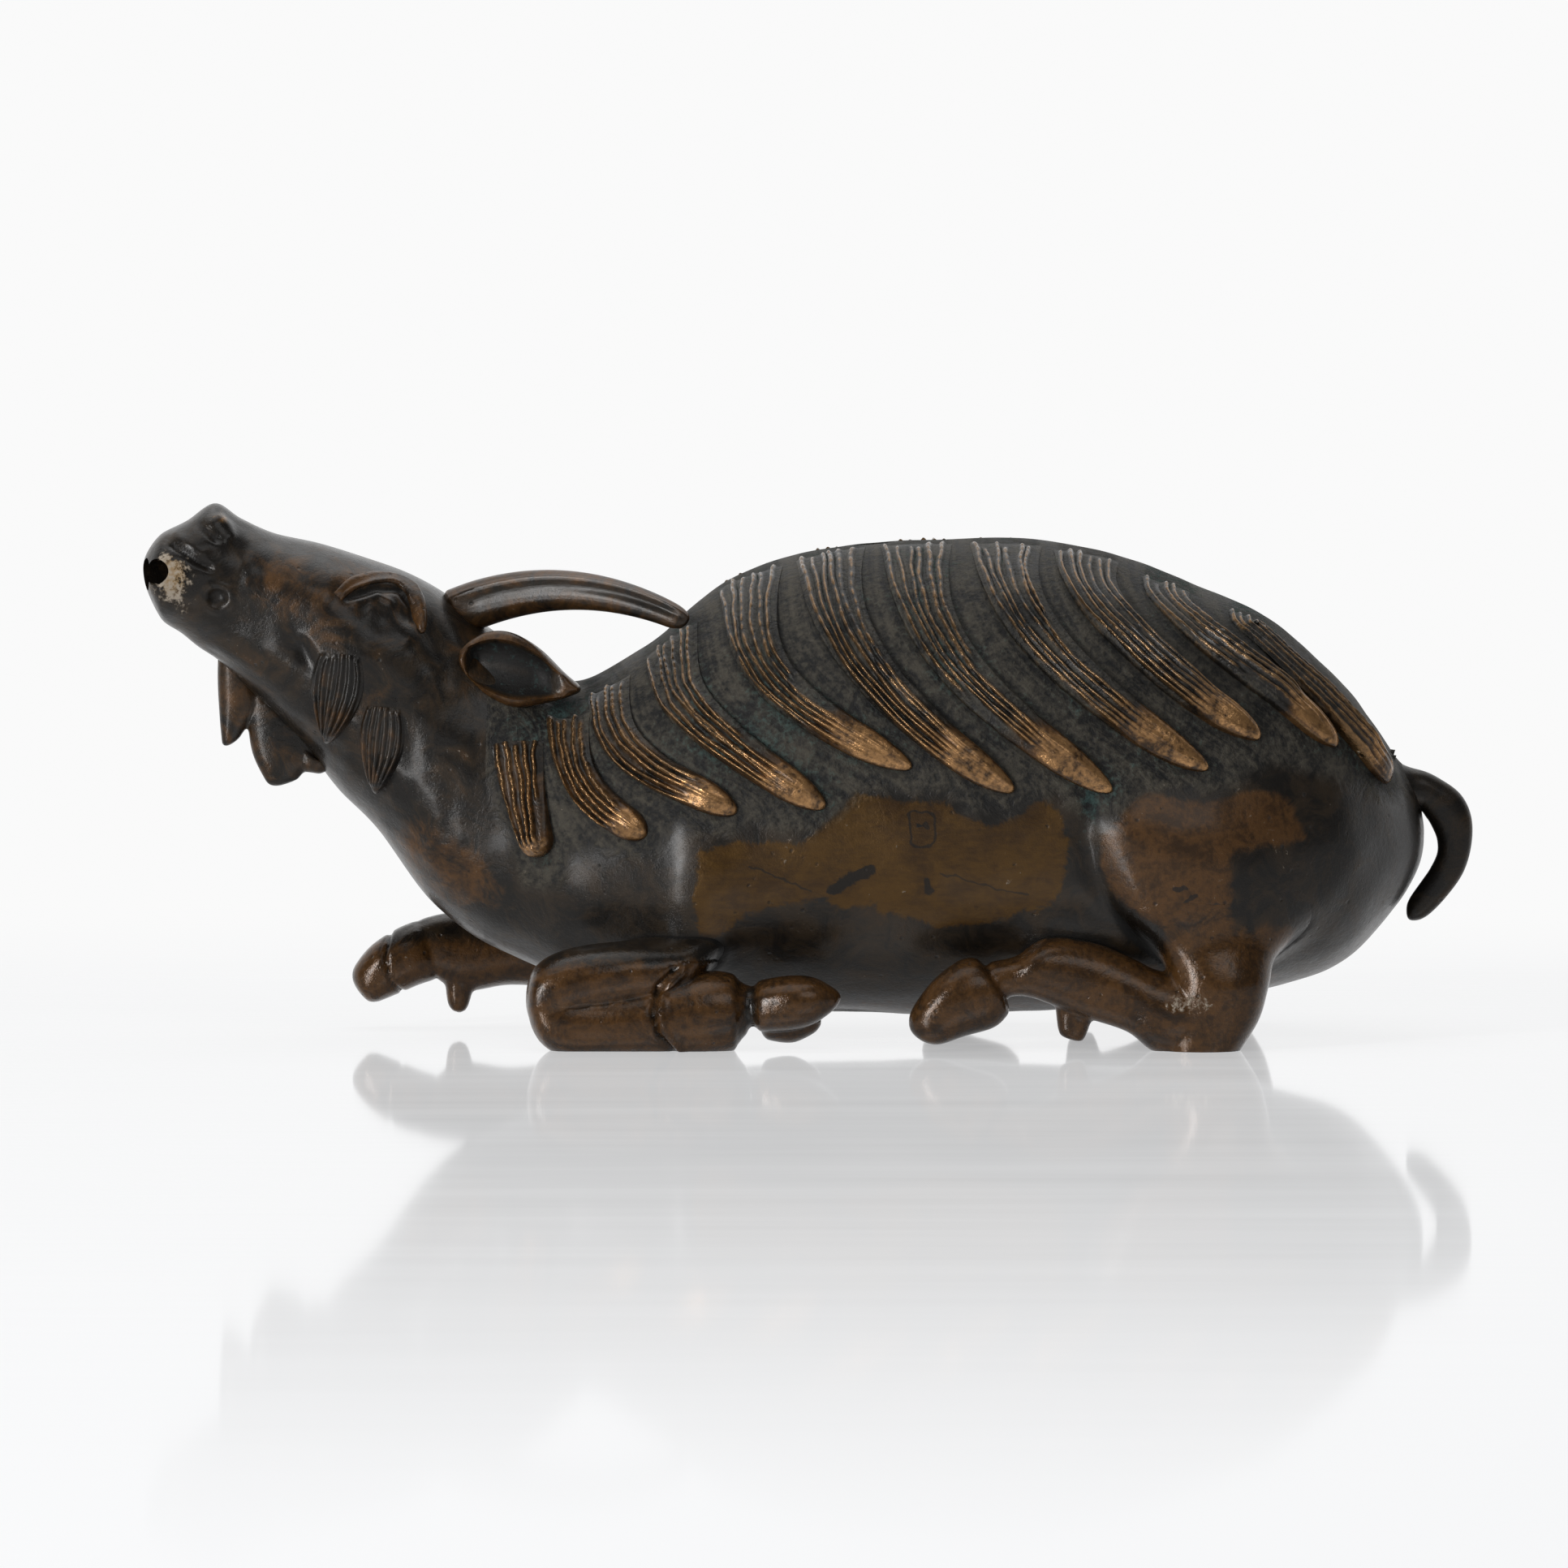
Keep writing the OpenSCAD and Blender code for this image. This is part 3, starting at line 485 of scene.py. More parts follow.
def bronze(name, settings, brown=0.0, green=0.0, polish=0.0, marked=False):
    """Patinated bronze: near-black patina, brown where hands touch it, bare metal on edges, painted shade in
    hollows and creases, and verdigris there. brown and green add to these shares, polish makes it glossier."""
    s = Shader(bpy.data.materials.new(name))
    edge, dip, rub, tan, gold, lime, coarse, strand = (
        s.attribute(k) for k in ("edge", "dip", "rub", "brown", "gold", "lime", "coarse", "strand"))
    cloud = s.noise(60, 3, 0.6)
    mottle = s.noise(300, 4, 0.66, warp=0.8)
    grain = s.noise(1700, 3, 0.65)
    clouded, mottled, grained = cloud - 0.5, mottle - 0.5, grain - 0.5
    fine = s.noise(6000, 1, 0.5)
    along_hair = s.node("ShaderNodeCombineXYZ", {}, (strand * 13, s.axis("Z") * 0.05, s.axis("X") * 0.03))
    combed = s.noise(1.0, 2, 0.6, place=along_hair)
    brushed = s.noise(1.0, 4, 0.7, place=s.stretched((500, 500, 1700)))

    def mix(share, *tones):
        """Mixes two tones, each a colour made here or the name of one of the settings."""
        return s.mix(share, *(tuple(getattr(settings, t)) if isinstance(t, str) else t for t in tones))

    colour = mix((cloud * 0.35 + mottle * 0.65).step(0.43, 0.60), "patina_dark", "patina_brown")
    warm = (tan * 1.1 + brown + clouded * 0.9 + mottled * 1.1 - dip * 0.6 - coarse * 0.5).step(0.30, 0.75)
    colour = mix(warm, colour,
                 mix((mottle * 0.6 + grain * 0.4).step(0.38, 0.62), "rubbed_dark", "rubbed_brown"))
    golden = (gold + mottled * 0.9 + grained * 0.5).step(0.36, 0.62)
    gold_tone = (cloud * 0.4 + mottle * 0.35 + brushed * 0.25).step(0.40, 0.60)
    colour = mix(golden, colour, mix(gold_tone, "golden_dark", "golden"))
    ground = (coarse * 1.2 + mottled * 0.9 + clouded * 0.8).step(0.3, 0.9)
    ground_tone = (combed * 0.25 + grain * 0.35 + mottle * 0.4).step(0.40, 0.62)
    colour = mix(ground, colour, mix(ground_tone, "dirt_and_shade_dark", "ground_grey"))
    metal = (edge + rub + mottled * 0.9 + grained * 0.7 - dip * 0.6).step(0.45, 0.95)
    colour = mix(metal, colour, mix((rub + grained * 0.9).step(0.15, 0.8), "copper_dark", "copper"))
    pits = (1 - s.cells(620).step(0.03, 0.20)) * mottle.step(0.50, 0.60)
    colour = mix(pits * 0.75, colour, "dirt_and_shade_dark")
    # Painted shade: where dip is marked, in hollows and creases, the colour goes near-black and the surface
    # rougher and duller.
    painted_shade = (dip * 1.0 + mottled * 0.6).step(0.3, 0.85)
    colour = mix(painted_shade * 0.9, colour, "dirt_and_shade_dark")
    verdigris = (dip * 0.35 + coarse * 0.3 + clouded * 1.1 + grained * 1.3 + green).step(0.42, 0.85)
    colour = mix(verdigris * 0.55, colour, "verdigris")
    if marked:
        colour = mix(flank_marks(s, grained) * 0.9, colour, "dirt_and_shade_dark")
    chalk = (lime + mottled * 1.8 + grained * 1.4).step(0.45, 0.80)
    colour = mix(chalk, colour, mix((grain * 0.5 + mottle * 0.5).step(0.42, 0.58), "lime_tan", "lime_pale"))

    rough = 0.40 + mottled * 0.25 + grained * 0.25 + painted_shade * 0.25 + verdigris * 0.25 + ground * 0.22
    rough = (rough - polish - metal * 0.12 + chalk * 0.4).most(0.16).least(0.95)
    metallic = 0.15 + golden * 0.3 + metal * 0.6 - painted_shade * 0.4 - verdigris * 0.5 - ground * 0.1 - chalk
    height = (cloud * 0.2 + mottle * 0.4 + grain * 0.3 + fine * 0.12 - pits * 0.5 + verdigris * 0.15
              + chalk * 0.6 + ground * (combed * 0.35 + grain * 0.8 + mottle * 0.7))
    bump = s.node("ShaderNodeBump", {}, {"Height": height, "Distance": 0.00022, "Strength": 0.8})
    coat = (0.24 - painted_shade * 0.24 - ground * 0.24 - chalk).most(0.0)
    return s.finish(s.node("ShaderNodeBsdfPrincipled", {}, {
        "Base Color": colour, "Roughness": rough, "Metallic": metallic.most(0.0).least(1.0), "Normal": bump,
        "IOR": 1.5, "Specular IOR Level": 0.25, "Coat Weight": coat, "Coat Roughness": 0.2,
        "Coat IOR": 1.45}))


# The outline of the core pin's patch in the picture: its centre, and in mm the half sizes of its straight
# sides and the radius of its corners.
PATCH_CENTRE, PATCH_HALF, PATCH_CORNER = (1134, 1011), (0.75, 1.25), 0.55
PATCH_PIT = ((1138, 1008), (1139, 1010), 0.35)
# Stains and scratches on the flank and the haunch in the picture: start, end, half width in mm, strength.
STROKES = (
    ((1022, 1086), (1070, 1062), 0.75, 1.0), ((1139, 1079), (1141, 1086), 0.55, 0.9),
    ((1158, 1066), (1200, 1078), 0.13, 0.7), ((1200, 1078), (1262, 1090), 0.13, 0.7),
    ((925, 1058), (1000, 1088), 0.13, 0.7),
    ((1440, 1082), (1454, 1085), 0.32, 0.9), ((1452, 1100), (1466, 1092), 0.32, 0.9),
    ((1462, 1128), (1476, 1140), 0.32, 0.9), ((1478, 1146), (1492, 1142), 0.32, 0.9),
    ((1490, 1104), (1504, 1110), 0.32, 0.9), ((1447, 1122), (1461, 1131), 0.32, 0.9))


def flank_marks(s, grained):
    """The outline of the core pin's patch, its pit, and old scratches and stains on the flank."""
    x = s.axis("X") + (s.noise(420, 2) - 0.5) * 1.6
    z = s.axis("Z") + (s.noise(470, 2) - 0.5) * 1.6
    rag = grained * 1.1

    def stroke(start, end, width):
        (x0, z0), (x1, z1) = spot(*start), spot(*end)
        run = math.hypot(x1 - x0, z1 - z0)
        u, v = (x1 - x0) / run, (z1 - z0) / run
        along = (x - x0) * u + (z - z0) * v
        over = along - along.most(0.0).least(run)
        off = (x - x0) * v - (z - z0) * u
        return 1 - ((over * over + off * off) ** 0.5 + rag * width).step(0.6 * width, width)

    rx, rz = (((at - c).size() - half).most(0.0)
              for at, c, half in zip((x, z), spot(*PATCH_CENTRE), PATCH_HALF))
    rim_gap = ((rx * rx + rz * rz) ** 0.5 - PATCH_CORNER).size()
    marks = 1 - (rim_gap + rag * 0.12).step(0.08, 0.22)
    marks = marks.most(stroke(*PATCH_PIT)) * 0.8
    for start, end, width, strength in STROKES:
        marks = marks.most(stroke(start, end, width) * strength)
    return marks


# What a user would change.

def tint(name, text, value):
    return FloatVectorProperty(name=name, description=text, subtype="COLOR", size=3, min=0, max=1,
                               default=value)


def size(name, text, value, low, high):
    return FloatProperty(name=name, description=text, default=value * MM, min=low * MM, max=high * MM,
                         subtype="DISTANCE", unit="LENGTH", precision=5)


class DropperFinish(bpy.types.PropertyGroup):
    patina_dark: tint("Dark patina", "Near-black patina of the whole casting", (0.0105, 0.0086, 0.0068))
    patina_brown: tint("Brown patina", "Brown cast in the dark patina", (0.030, 0.0200, 0.0115))
    rubbed_brown: tint("Rubbed brown", "Patina on the legs and haunches, thinned by hands",
                       (0.100, 0.046, 0.014))
    rubbed_dark: tint("Rubbed brown, dark", "Darker clouds in the rubbed patina", (0.040, 0.020, 0.008))
    golden: tint("Golden flank", "Thin golden brown patina on the flanks", (0.084, 0.041, 0.0070))
    golden_dark: tint("Golden flank, dark", "Darker clouds in the golden patina", (0.042, 0.020, 0.0052))
    copper: tint("Bare metal", "Metal where the patina is worn through", (0.43, 0.232, 0.095))
    copper_dark: tint("Tarnished metal", "Metal that has begun to darken again", (0.135, 0.078, 0.034))
    # This near-black is used for pits, stains and the mane's ground, and also as painted shade in hollows and
    # creases.
    dirt_and_shade_dark: tint("Recess", "Dirt and old ink in the hollows", (0.0085, 0.0085, 0.0085))
    ground_grey: tint("Mane ground", "Dry grey bloom between the locks", (0.076, 0.067, 0.052))
    verdigris: tint("Verdigris", "Blue-green salts in the hollows", (0.070, 0.125, 0.118))
    lime_tan: tint("Lime, tan", "Tan lime scale round the spout", (0.36, 0.24, 0.12))
    lime_pale: tint("Lime, pale", "Pale lime scale round the spout", (0.46, 0.39, 0.31))


class DropperForm(bpy.types.PropertyGroup):
    shoulder_rise: size("Shoulder", "Rise of the ridge of the shoulder", 0.8, 0, 3)
    haunch_rise: size("Haunch", "Rise of the haunch behind the flank's crease", 1.4, 0, 4)
    eye_depth: size("Eye hollow", "Depth of the eye hollow", 0.5, 0, 2)
    strand_depth: size("Strand grooves", "Depth of the grooves between strands of hair", 0.55, 0, 1)
    strands: IntProperty(name="Strands", description="Number of strands in a lock", default=6, min=3, max=8)


class DropperStage(bpy.types.PropertyGroup):
    elevation: FloatProperty(name="Camera height", description="Angle of the camera above the table",
                             default=math.radians(3), subtype="ANGLE", unit="ROTATION")
    distance: FloatProperty(name="Camera distance", description="Distance of the camera from the figure",
                            default=1.6, subtype="DISTANCE", unit="LENGTH")
    frame_width: size("View width", "Width that the view shows at the figure", 165.4, 100, 300)
    floor: tint("Floor", "Colour of the glossy table", (0.3, 0.3, 0.3))
    floor_glow: FloatProperty(name="Floor glow", description="Brightness of the table in the picture",
                              default=0.76, min=0, max=1)


def mm(value):
    return value / MM


# Pieces.

def even_places(rows_of, start, stop, pitch, n=400):
    """Places along a table of sections, about pitch mm apart on the surface."""
    t = np.linspace(start, stop, n)
    r = rows_of(t)
    top, low = r[:, 0:2], r[:, 2:4]
    step = 0.5 * (np.linalg.norm(np.diff(top, axis=0), axis=1) + np.linalg.norm(np.diff(low, axis=0), axis=1))
    step += 0.6 * np.abs(np.diff(r[:, 5]))
    run = np.concatenate([[0], np.cumsum(step)])
    count = max(4, int(run[-1] / pitch))
    return np.interp(np.linspace(0, run[-1], count + 1), run, t)


def surface_normals(grid):
    along = np.gradient(grid, axis=0)
    closed = np.concatenate([grid[:, -1:], grid, grid[:, :1]], axis=1)
    around = (closed[:, 2:] - closed[:, :-2]) / 2
    return unit(np.cross(along, around))


def casting_grid(sides=288):
    """Rings of the whole casting from the muzzle to the rump, and the ring at the neck seam."""
    head_t = even_places(head_rows, 0, len(HEAD), 0.34)
    body_x = even_places(body_rows, SEAM_X, RUMP_X, 0.46)[1:]
    angles = np.arange(sides) * 360 / sides
    grid = np.concatenate([rim(head_rows(head_t), angles), swelled(rim(body_rows(body_x), angles), angles)])
    seam = len(head_t) - 1
    places = np.concatenate([head_t - len(HEAD), body_x - SEAM_X])
    for _ in range(60):
        near = np.exp(-((np.arange(len(grid)) - seam) / 9.0) ** 2)[1:-1, None, None]
        grid[1:-1] += near * (0.25 * grid[:-2] + 0.5 * grid[1:-1] + 0.25 * grid[2:] - grid[1:-1])
    return grid, seam, places


def lump(side, centre, along, up):
    """A soft lump on the side view, 1 at its centre, with its own reach behind, ahead, below and above."""
    return bell(side[..., 0] - centre[0], *along) * bell(side[..., 1] - centre[1], *up)


# The front edge of the haunch, from the knee up.
HAUNCH_FRONT = np.array(spots([(1481, 1207), (1444, 1178), (1411, 1145), (1382, 1112), (1357, 1062),
                               (1346, 1020), (1352, 985)], 6))


def body_relief(p, n, form):
    """How far the body's surface stands out from its plain form, in mm."""
    side = p[..., [0, 2]]
    flank = smooth(np.abs(n[..., 1]), 0.25, 0.6)
    h = mm(form.shoulder_rise) * lump(side, (-12.6, 16.5), (5.0, 4.2), (10, 9.0)) * flank
    ahead = side[..., 0] - np.interp(side[..., 1], HAUNCH_FRONT[:, 1], HAUNCH_FRONT[:, 0])
    high = 1 - smooth(side[..., 1], 22, 31)
    back = 1 - smooth(side[..., 0], 41, 54)
    h = h + mm(form.haunch_rise) * smooth(ahead, -1.2, 3.6) * high * back * flank
    h = h - 0.6 * np.exp(-((ahead + 1.5) / 1.2) ** 2) * high * flank
    return h + 0.16 * waves(p, 16, 1) + 0.05 * waves(p, 5, 2)


# The face in points of the picture. Ridges are a line, a half width and a height in mm, and a height below 0
# is a groove. Dents are a centre, half sizes in mm, a turn in degrees, a depth in mm and the steepness.
EYE, EYE_SIZES = (480, 755), (3.4, 1.8, -35)
FACE_RIDGES = (
    (((424, 742), (440, 732), (468, 724), (496, 728), (512, 746), (519, 770)), 0.32, -0.4),
    (((437, 744), (470, 733), (492, 744)), 0.3, 0.25),
    (((455, 745), (480, 758), (500, 776), (515, 792)), 1.1, 0.3),
    (((268, 638), (284, 650), (292, 668)), 0.6, 0.4),
    (((214, 668), (232, 679), (250, 692), (270, 703)), 0.36, -0.5),
    (((216, 656), (240, 670), (262, 684)), 0.6, 0.15),
    (((300, 700), (360, 712), (420, 735)), 2.2, 0.3))
FACE_DENTS = (
    ((507, 756), 1.2, 0.7, -50, 0.35, 2), ((262, 656), 1.3, 0.6, -38, 0.45, 2.4),
    ((272, 664), 0.6, 0.5, -38, 0.3, 2.4), ((273, 735), 0.95, 0.85, 0, 0.65, 3),
    ((377, 800), 2.0, 1.0, -60, 0.7, 2), ((450, 806), 1.3, 1.1, 0, -0.25, 2),
    ((506, 905), 2.6, 1.2, -75, 0.25, 2), ((540, 790), 3.0, 1.1, -70, 0.4, 2))
MOUTH_CORNER = (274, 737)


def head_relief(p, form):
    """The face: brow, eye, nostril, lips, mouth corner and jaw, alike on both sides."""
    side = p[..., [0, 2]]
    h = 0.10 * waves(p, 9, 5) + 0.04 * waves(p, 3.2, 6)
    for line, width, height in FACE_RIDGES:
        gap, along = near_line(side, spots(line))
        ends = smooth(along, -0.01, 0.12) * (1 - smooth(along, 0.88, 1.01))
        h += height * np.exp(-(gap / width) ** 2) * ends
    for centre, long, short, turn, depth, power in FACE_DENTS + ((EYE, *EYE_SIZES, mm(form.eye_depth), 2.4),):
        d, t = side - spot(*centre), math.radians(turn)
        u = d[..., 0] * math.cos(t) + d[..., 1] * math.sin(t)
        v = -d[..., 0] * math.sin(t) + d[..., 1] * math.cos(t)
        h -= depth * np.exp(-(((u / long) ** 2 + (v / short) ** 2) ** (power / 2)))
    gap = np.linalg.norm(side - spot(*MOUTH_CORNER), axis=-1)
    return h + 0.14 * np.exp(-((gap - 1.35) / 0.4) ** 2)


def casting(form):
    """The casting's skin with its relief. Places before 0 are head rows, later ones mm behind the seam."""
    grid, seam, places = casting_grid()
    n = surface_normals(grid)
    ring = np.arange(len(grid))[:, None]
    in_body = smooth(ring - seam, -14, 10)
    cheek = smooth(np.abs(n[..., 1]), 0.15, 0.45)
    h = in_body * body_relief(grid, n, form) + (1 - in_body) * head_relief(grid, form) * cheek
    ends = np.minimum(smooth(ring, 0, 10), 1 - smooth(ring, len(grid) - 9, len(grid) - 1))
    return Skin(grid + n * (h * ends)[..., None], places), seam


def lock_path(i):
    r = LOCKS[i]
    a0, a1 = level_angle(r[2] + 0.45 * max(0.0, r[2] - 0.88)), level_angle(r[3])

    def path(t):
        a = a0 + (a1 - a0) * np.clip(t, 0, 1)
        d = np.maximum(0, (angle_level(a) - r[2]) / (r[3] - r[2]))
        return r[0] + (r[1] - r[0]) * d ** r[4], a

    return path


def off_seam(p, skin, seam):
    """0 at the ring where body and head meet, 1 from 1.2 mm away."""
    ring = skin.grid[seam]
    gap = np.full(len(p), 9.0)
    near = np.flatnonzero(np.abs(p[:, 0] - SEAM_X) < 12)
    gap[near] = np.sqrt(((p[near, None] - ring[None, ::3]) ** 2).sum(-1)).min(1)
    return smooth(gap, 0.8, 2.0)


def lock_line(skin, i):
    """The middle of a lock in the side view, as a polyline."""
    return skin(*lock_path(i)(np.linspace(0, 1, 12)))[:, [0, 2]]


def gap_to_locks(p, skin):
    """Distance in mm from points to the nearest lock of the mane, measured in the side view."""
    gap = np.full(len(p), 99.0)
    for i, r in enumerate(LOCKS):
        d, along = near_line(p[:, [0, 2]], lock_line(skin, i))
        full = r[5] * LOCK_W
        half = (full + (min(LOCK_TIP_W, 0.9 * full) - full) * along) / 2
        gap = np.minimum(gap, d - half * np.where(along > 0.97, 0.6, 1.0))
    return gap


# Outlines of the parts of the skin that differ in finish, as points of the picture of 1932 by 1932.
GOLDEN = ((866, 1040), (910, 1028), (983, 1035), (1000, 1020), (1017, 1005), (1037, 988), (1050, 968),
          (1083, 972), (1127, 978), (1160, 980), (1183, 997), (1217, 1007), (1250, 997), (1263, 980),
          (1280, 976), (1297, 992), (1311, 1017), (1311, 1057), (1302, 1087), (1288, 1107), (1250, 1113),
          (1217, 1130), (1150, 1131), (1123, 1120), (1083, 1112), (1078, 1102), (1037, 1110), (1017, 1099),
          (950, 1104), (917, 1118), (887, 1145), (864, 1143), (858, 1097))
HAUNCH_BROWN = ((1352, 1060), (1366, 1010), (1384, 974), (1408, 968), (1480, 978), (1540, 970), (1578, 974),
                (1586, 1000), (1602, 1026), (1545, 1030), (1502, 1040), (1506, 1080), (1514, 1124),
                (1536, 1172), (1562, 1204), (1575, 1330), (900, 1330), (900, 1240), (1290, 1240),
                (1300, 1150), (1440, 1190), (1412, 1145), (1380, 1105))
CHEST_BROWN = ((470, 1000), (520, 1010), (600, 1050), (640, 1090), (620, 1130), (560, 1110), (500, 1060))
LEG_SALTS = ((1392, 1228), (1420, 1218), (1450, 1208), (1486, 1214), (1482, 1240), (1440, 1246), (1398, 1242))
BROWN_FACE = ((300, 672), (380, 680), (470, 690), (516, 730), (520, 790), (500, 800), (440, 770), (425, 800),
              (470, 860), (450, 880), (400, 800), (330, 750), (300, 720))
MANE_GROUND = ((598, 862), (604, 950), (622, 1010), (652, 1086), (694, 1086), (704, 1050), (762, 1046),
               (815, 1046), (832, 1012), (900, 1018), (928, 1006), (1000, 1014), (1030, 990), (1056, 964),
               (1130, 968), (1168, 968), (1192, 992), (1240, 998), (1272, 976), (1298, 964), (1345, 1002),
               (1380, 985), (1404, 960), (1480, 966), (1504, 960), (1560, 934), (1640, 950), (1690, 978),
               (1722, 990), (1752, 945), (1720, 860), (1600, 740), (1500, 680), (1350, 620), (1150, 590),
               (950, 620), (800, 740), (690, 830))


def strand_place(p, skin):
    """Where a point lies across the mane, counted in locks: 0 on the first, 1 on the second and so on."""
    side = p[:, [0, 2]]
    signed = []
    for i in range(len(LOCKS)):
        line = lock_line(skin, i)
        d, _ = near_line(side, line)
        x = np.interp(side[:, 1], line[::-1, 1], line[::-1, 0])
        signed.append(np.where(side[:, 0] > x, d, -d))
    place = np.clip(signed[0] / 9.0, -3, 0)
    for i in range(len(LOCKS) - 1):
        a, b = signed[i], signed[i + 1]
        share = np.clip(a / np.maximum(a - b, 0.01), 0, 1)
        place = np.where(a > 0, i + share, place)
    return place + np.clip(signed[-1] / 9.0, 0, 3)


# The holes, in mm: the air hole's place along the back, and the spout's mouth, direction and size.
AIR_X, AIR_D = 7, 4.4
MOUTH = np.array([SEAM_X - 33.6, -1.2 * HEAD_TURN, 49.2])
SPOUT_DIR = np.array([math.cos(math.radians(27)), math.sin(math.radians(27)), 0.0])
SPOUT_D = 3.4
# The opening in the side of the mouth: its place in the picture, its direction and its size.
SIDE_OPENING, SIDE_DIR, SIDE_D = (197, 705), (0.55, 0.83, 0.0), 2.8


def drill(obj, start, end, diameter, vertices=48):
    """Cuts a round hole with a primitive cylinder and a Boolean modifier."""
    start, end = Vector(start) * MM, Vector(end) * MM
    v = end - start
    only()
    bpy.ops.mesh.primitive_cylinder_add(vertices=vertices, radius=diameter / 2 * MM, depth=v.length,
                                        location=(start + end) / 2,
                                        rotation=v.to_track_quat("Z", "Y").to_euler())
    bit = bpy.context.active_object
    applied(obj, "BOOLEAN", operation="DIFFERENCE", solver="EXACT", object=bit)
    bpy.data.objects.remove(bit)


def lock_points(skin, path, width, count, seed, tip=0.1, rings=170, across=72, edge=0.5, tall=1.05,
                crest=0.34, wavy=1.0):
    """Rings of a lock of hair on a skin: thin wavy ridges with flat hollows between them, which run
    together in a smooth round tip. Also gives how far each point is a crest, and how near the tip."""
    rng = np.random.RandomState(seed)
    t = np.minimum(1 - (1 - np.linspace(0, 1, rings)) ** 1.2, 1 - 1e-4)
    s, a = path(t)
    s1, a1 = path(np.minimum(t + 0.01, 1))
    s0, a0 = path(np.maximum(t - 0.01, 0))
    run = unit(skin(s1, a1) - skin(s0, a0))
    p, q = skin.slopes(s, a)
    sideways = unit(np.cross(run, unit(np.cross(p, q))))
    round_tip = ease(1 - t, tip)
    w = width(t) / 2 * round_tip
    u = np.linspace(1, -1, across + 1)[None, :]
    step = sideways[:, None] * (w[:, None] * u)[..., None]
    pp, qq, pq = ((a * b).sum(1)[:, None] for a, b in ((p, p), (q, q), (p, q)))
    det = pp * qq - pq ** 2
    vp, vq = (step * p[:, None]).sum(2), (step * q[:, None]).sum(2)
    S = s[:, None] + (vp * qq - vq * pq) / det
    A = a[:, None] + (vq * pp - vp * pq) / det
    ground, lift = skin(S, A), skin.out(S, A)

    T, half = t[:, None], np.maximum(width(t) / 2, 0.2)[:, None]
    ridges = np.zeros((rings, across + 1))
    centres = np.linspace(-0.82 + 0.22 * min(wavy, 1), 0.84, count) + wavy * rng.uniform(-0.06, 0.06, count)

    def sway(low, high):
        return np.sin(rng.uniform(low, high) * T + rng.uniform(0, 6))

    for c in centres:
        outer = abs(c) > 0.6
        begin = rng.uniform(-0.1, 0.05) if rng.rand() < 0.7 or wavy < 1 else rng.uniform(0.05, 0.25)
        stop = rng.uniform(0.55, 0.9) if outer and rng.rand() < 0.6 * wavy else rng.uniform(0.88, 1.0)
        wander = 0.07 * sway(3, 7) + 0.03 * sway(18, 34)
        d = (u - c - wavy * wander) * half
        beads = 1 + 0.22 * wavy * sway(60, 110) * np.sin(rng.uniform(25, 45) * T)
        own = smooth(T, begin, begin + 0.08) * (1 - smooth(T, stop - 0.06, stop + 0.02))
        thin = rng.uniform(0.22, 0.33)
        ridges = np.maximum(ridges, rng.uniform(0.65, 1.0) * beads * own * np.exp(-np.abs(d / thin) ** 2.2))
    at_tip = smooth(T, 1 - 1.9 * tip, 1 - 0.9 * tip)
    slab = edge * smooth(T, 0.12, 0.7) + 0.06
    dome = np.sqrt(np.clip(1 - u ** 2, 0, 1))
    swell = 0.06 + 0.44 * smooth(T, 0.25, 0.75) + (tall - 0.5) * smooth(T, 0.62, 0.93)
    rise = (slab + swell * (1 - 0.3 * u * wavy) * dome) * round_tip[:, None] * smooth(T, -0.02, 0.06)
    rise = rise + (crest * ridges * (1 - 0.8 * at_tip) * (0.8 + 0.5 * smooth(T, 0.3, 0.7))
                   * np.clip(dome * 2.2, 0, 1))
    upper = ground + rise[..., None] * lift
    under = (ground - 0.5 * lift)[:, ::-1][:, ::4]
    pad = np.zeros_like(under[..., 0])
    crests = np.concatenate([ridges * (1 - at_tip), pad], axis=1)
    tips = np.concatenate([at_tip * np.clip(dome * 1.6, 0, 1) + 0 * u, pad], axis=1)
    hollow = np.concatenate([(1 - ridges) * (1 - at_tip) + 0 * u, pad], axis=1)
    return np.concatenate([upper, under], axis=1), crests, tips, hollow


def mane_lock(skin, i, far, form):
    """A lock of the mane with the masks of its finish."""
    path = lock_path(i)
    full = 1.12 * LOCKS[i][5] * LOCK_W
    end = min(0.96 * LOCK_TIP_W, 0.9 * full)
    count = form.strands if LOCKS[i][5] > 0.8 else form.strands - 1

    def far_path(t):
        s, a = path(t)
        return s, 180 - a

    grid, *masks = lock_points(skin, far_path if far else path, lambda t: full + (end - full) * t, count,
                               seed=i + 20 * far + 3, crest=mm(form.strand_depth),
                               wavy=0.45 if i > 7 else 0.8)
    name = f"{'far' if far else 'near'}_lock_{LOCK_NAMES[i]}"
    return wrapped(name + "_hair", grid), name, grid, masks


def carried(obj, grid, *masks):
    """Masks given on a grid of points, read at the points of the mesh made from it."""
    tree = KDTree(grid.shape[0] * grid.shape[1])
    for k, q in enumerate(grid.reshape(-1, 3)):
        tree.insert(q, k)
    tree.balance()
    index = np.array([tree.find(q)[1] for q in points(obj)])
    return [m.ravel()[index] for m in masks]


def limb_grid(rows, n=60, sides=40, e0=0.1, e1=0.1, shift=(0, 0, 0)):
    """A limb through section rows, with ends that round off, as rings."""
    rows = np.array(rows, float)
    last = len(rows) - 1
    t = (1 - np.cos(np.linspace(0, math.pi, n))) / 2
    k = np.ones(n)
    if e0 > 0:
        k = np.minimum(k, ease(t, e0))
    if e1 > 0:
        k = np.minimum(k, ease(1 - t, e1))
    return rim(drawn(spline(rows, t * last), k), np.arange(sides) * 360 / sides) + np.array(shift)


def leg_rows(rows):
    """Leg rows are in mm behind the seam and above the table, their middle y as a share of the half track."""
    return [[SEAM_X + r[0], r[1], SEAM_X + r[2], r[3], -r[4] * TRACK_W / 2, r[5], 0.5] for r in rows]


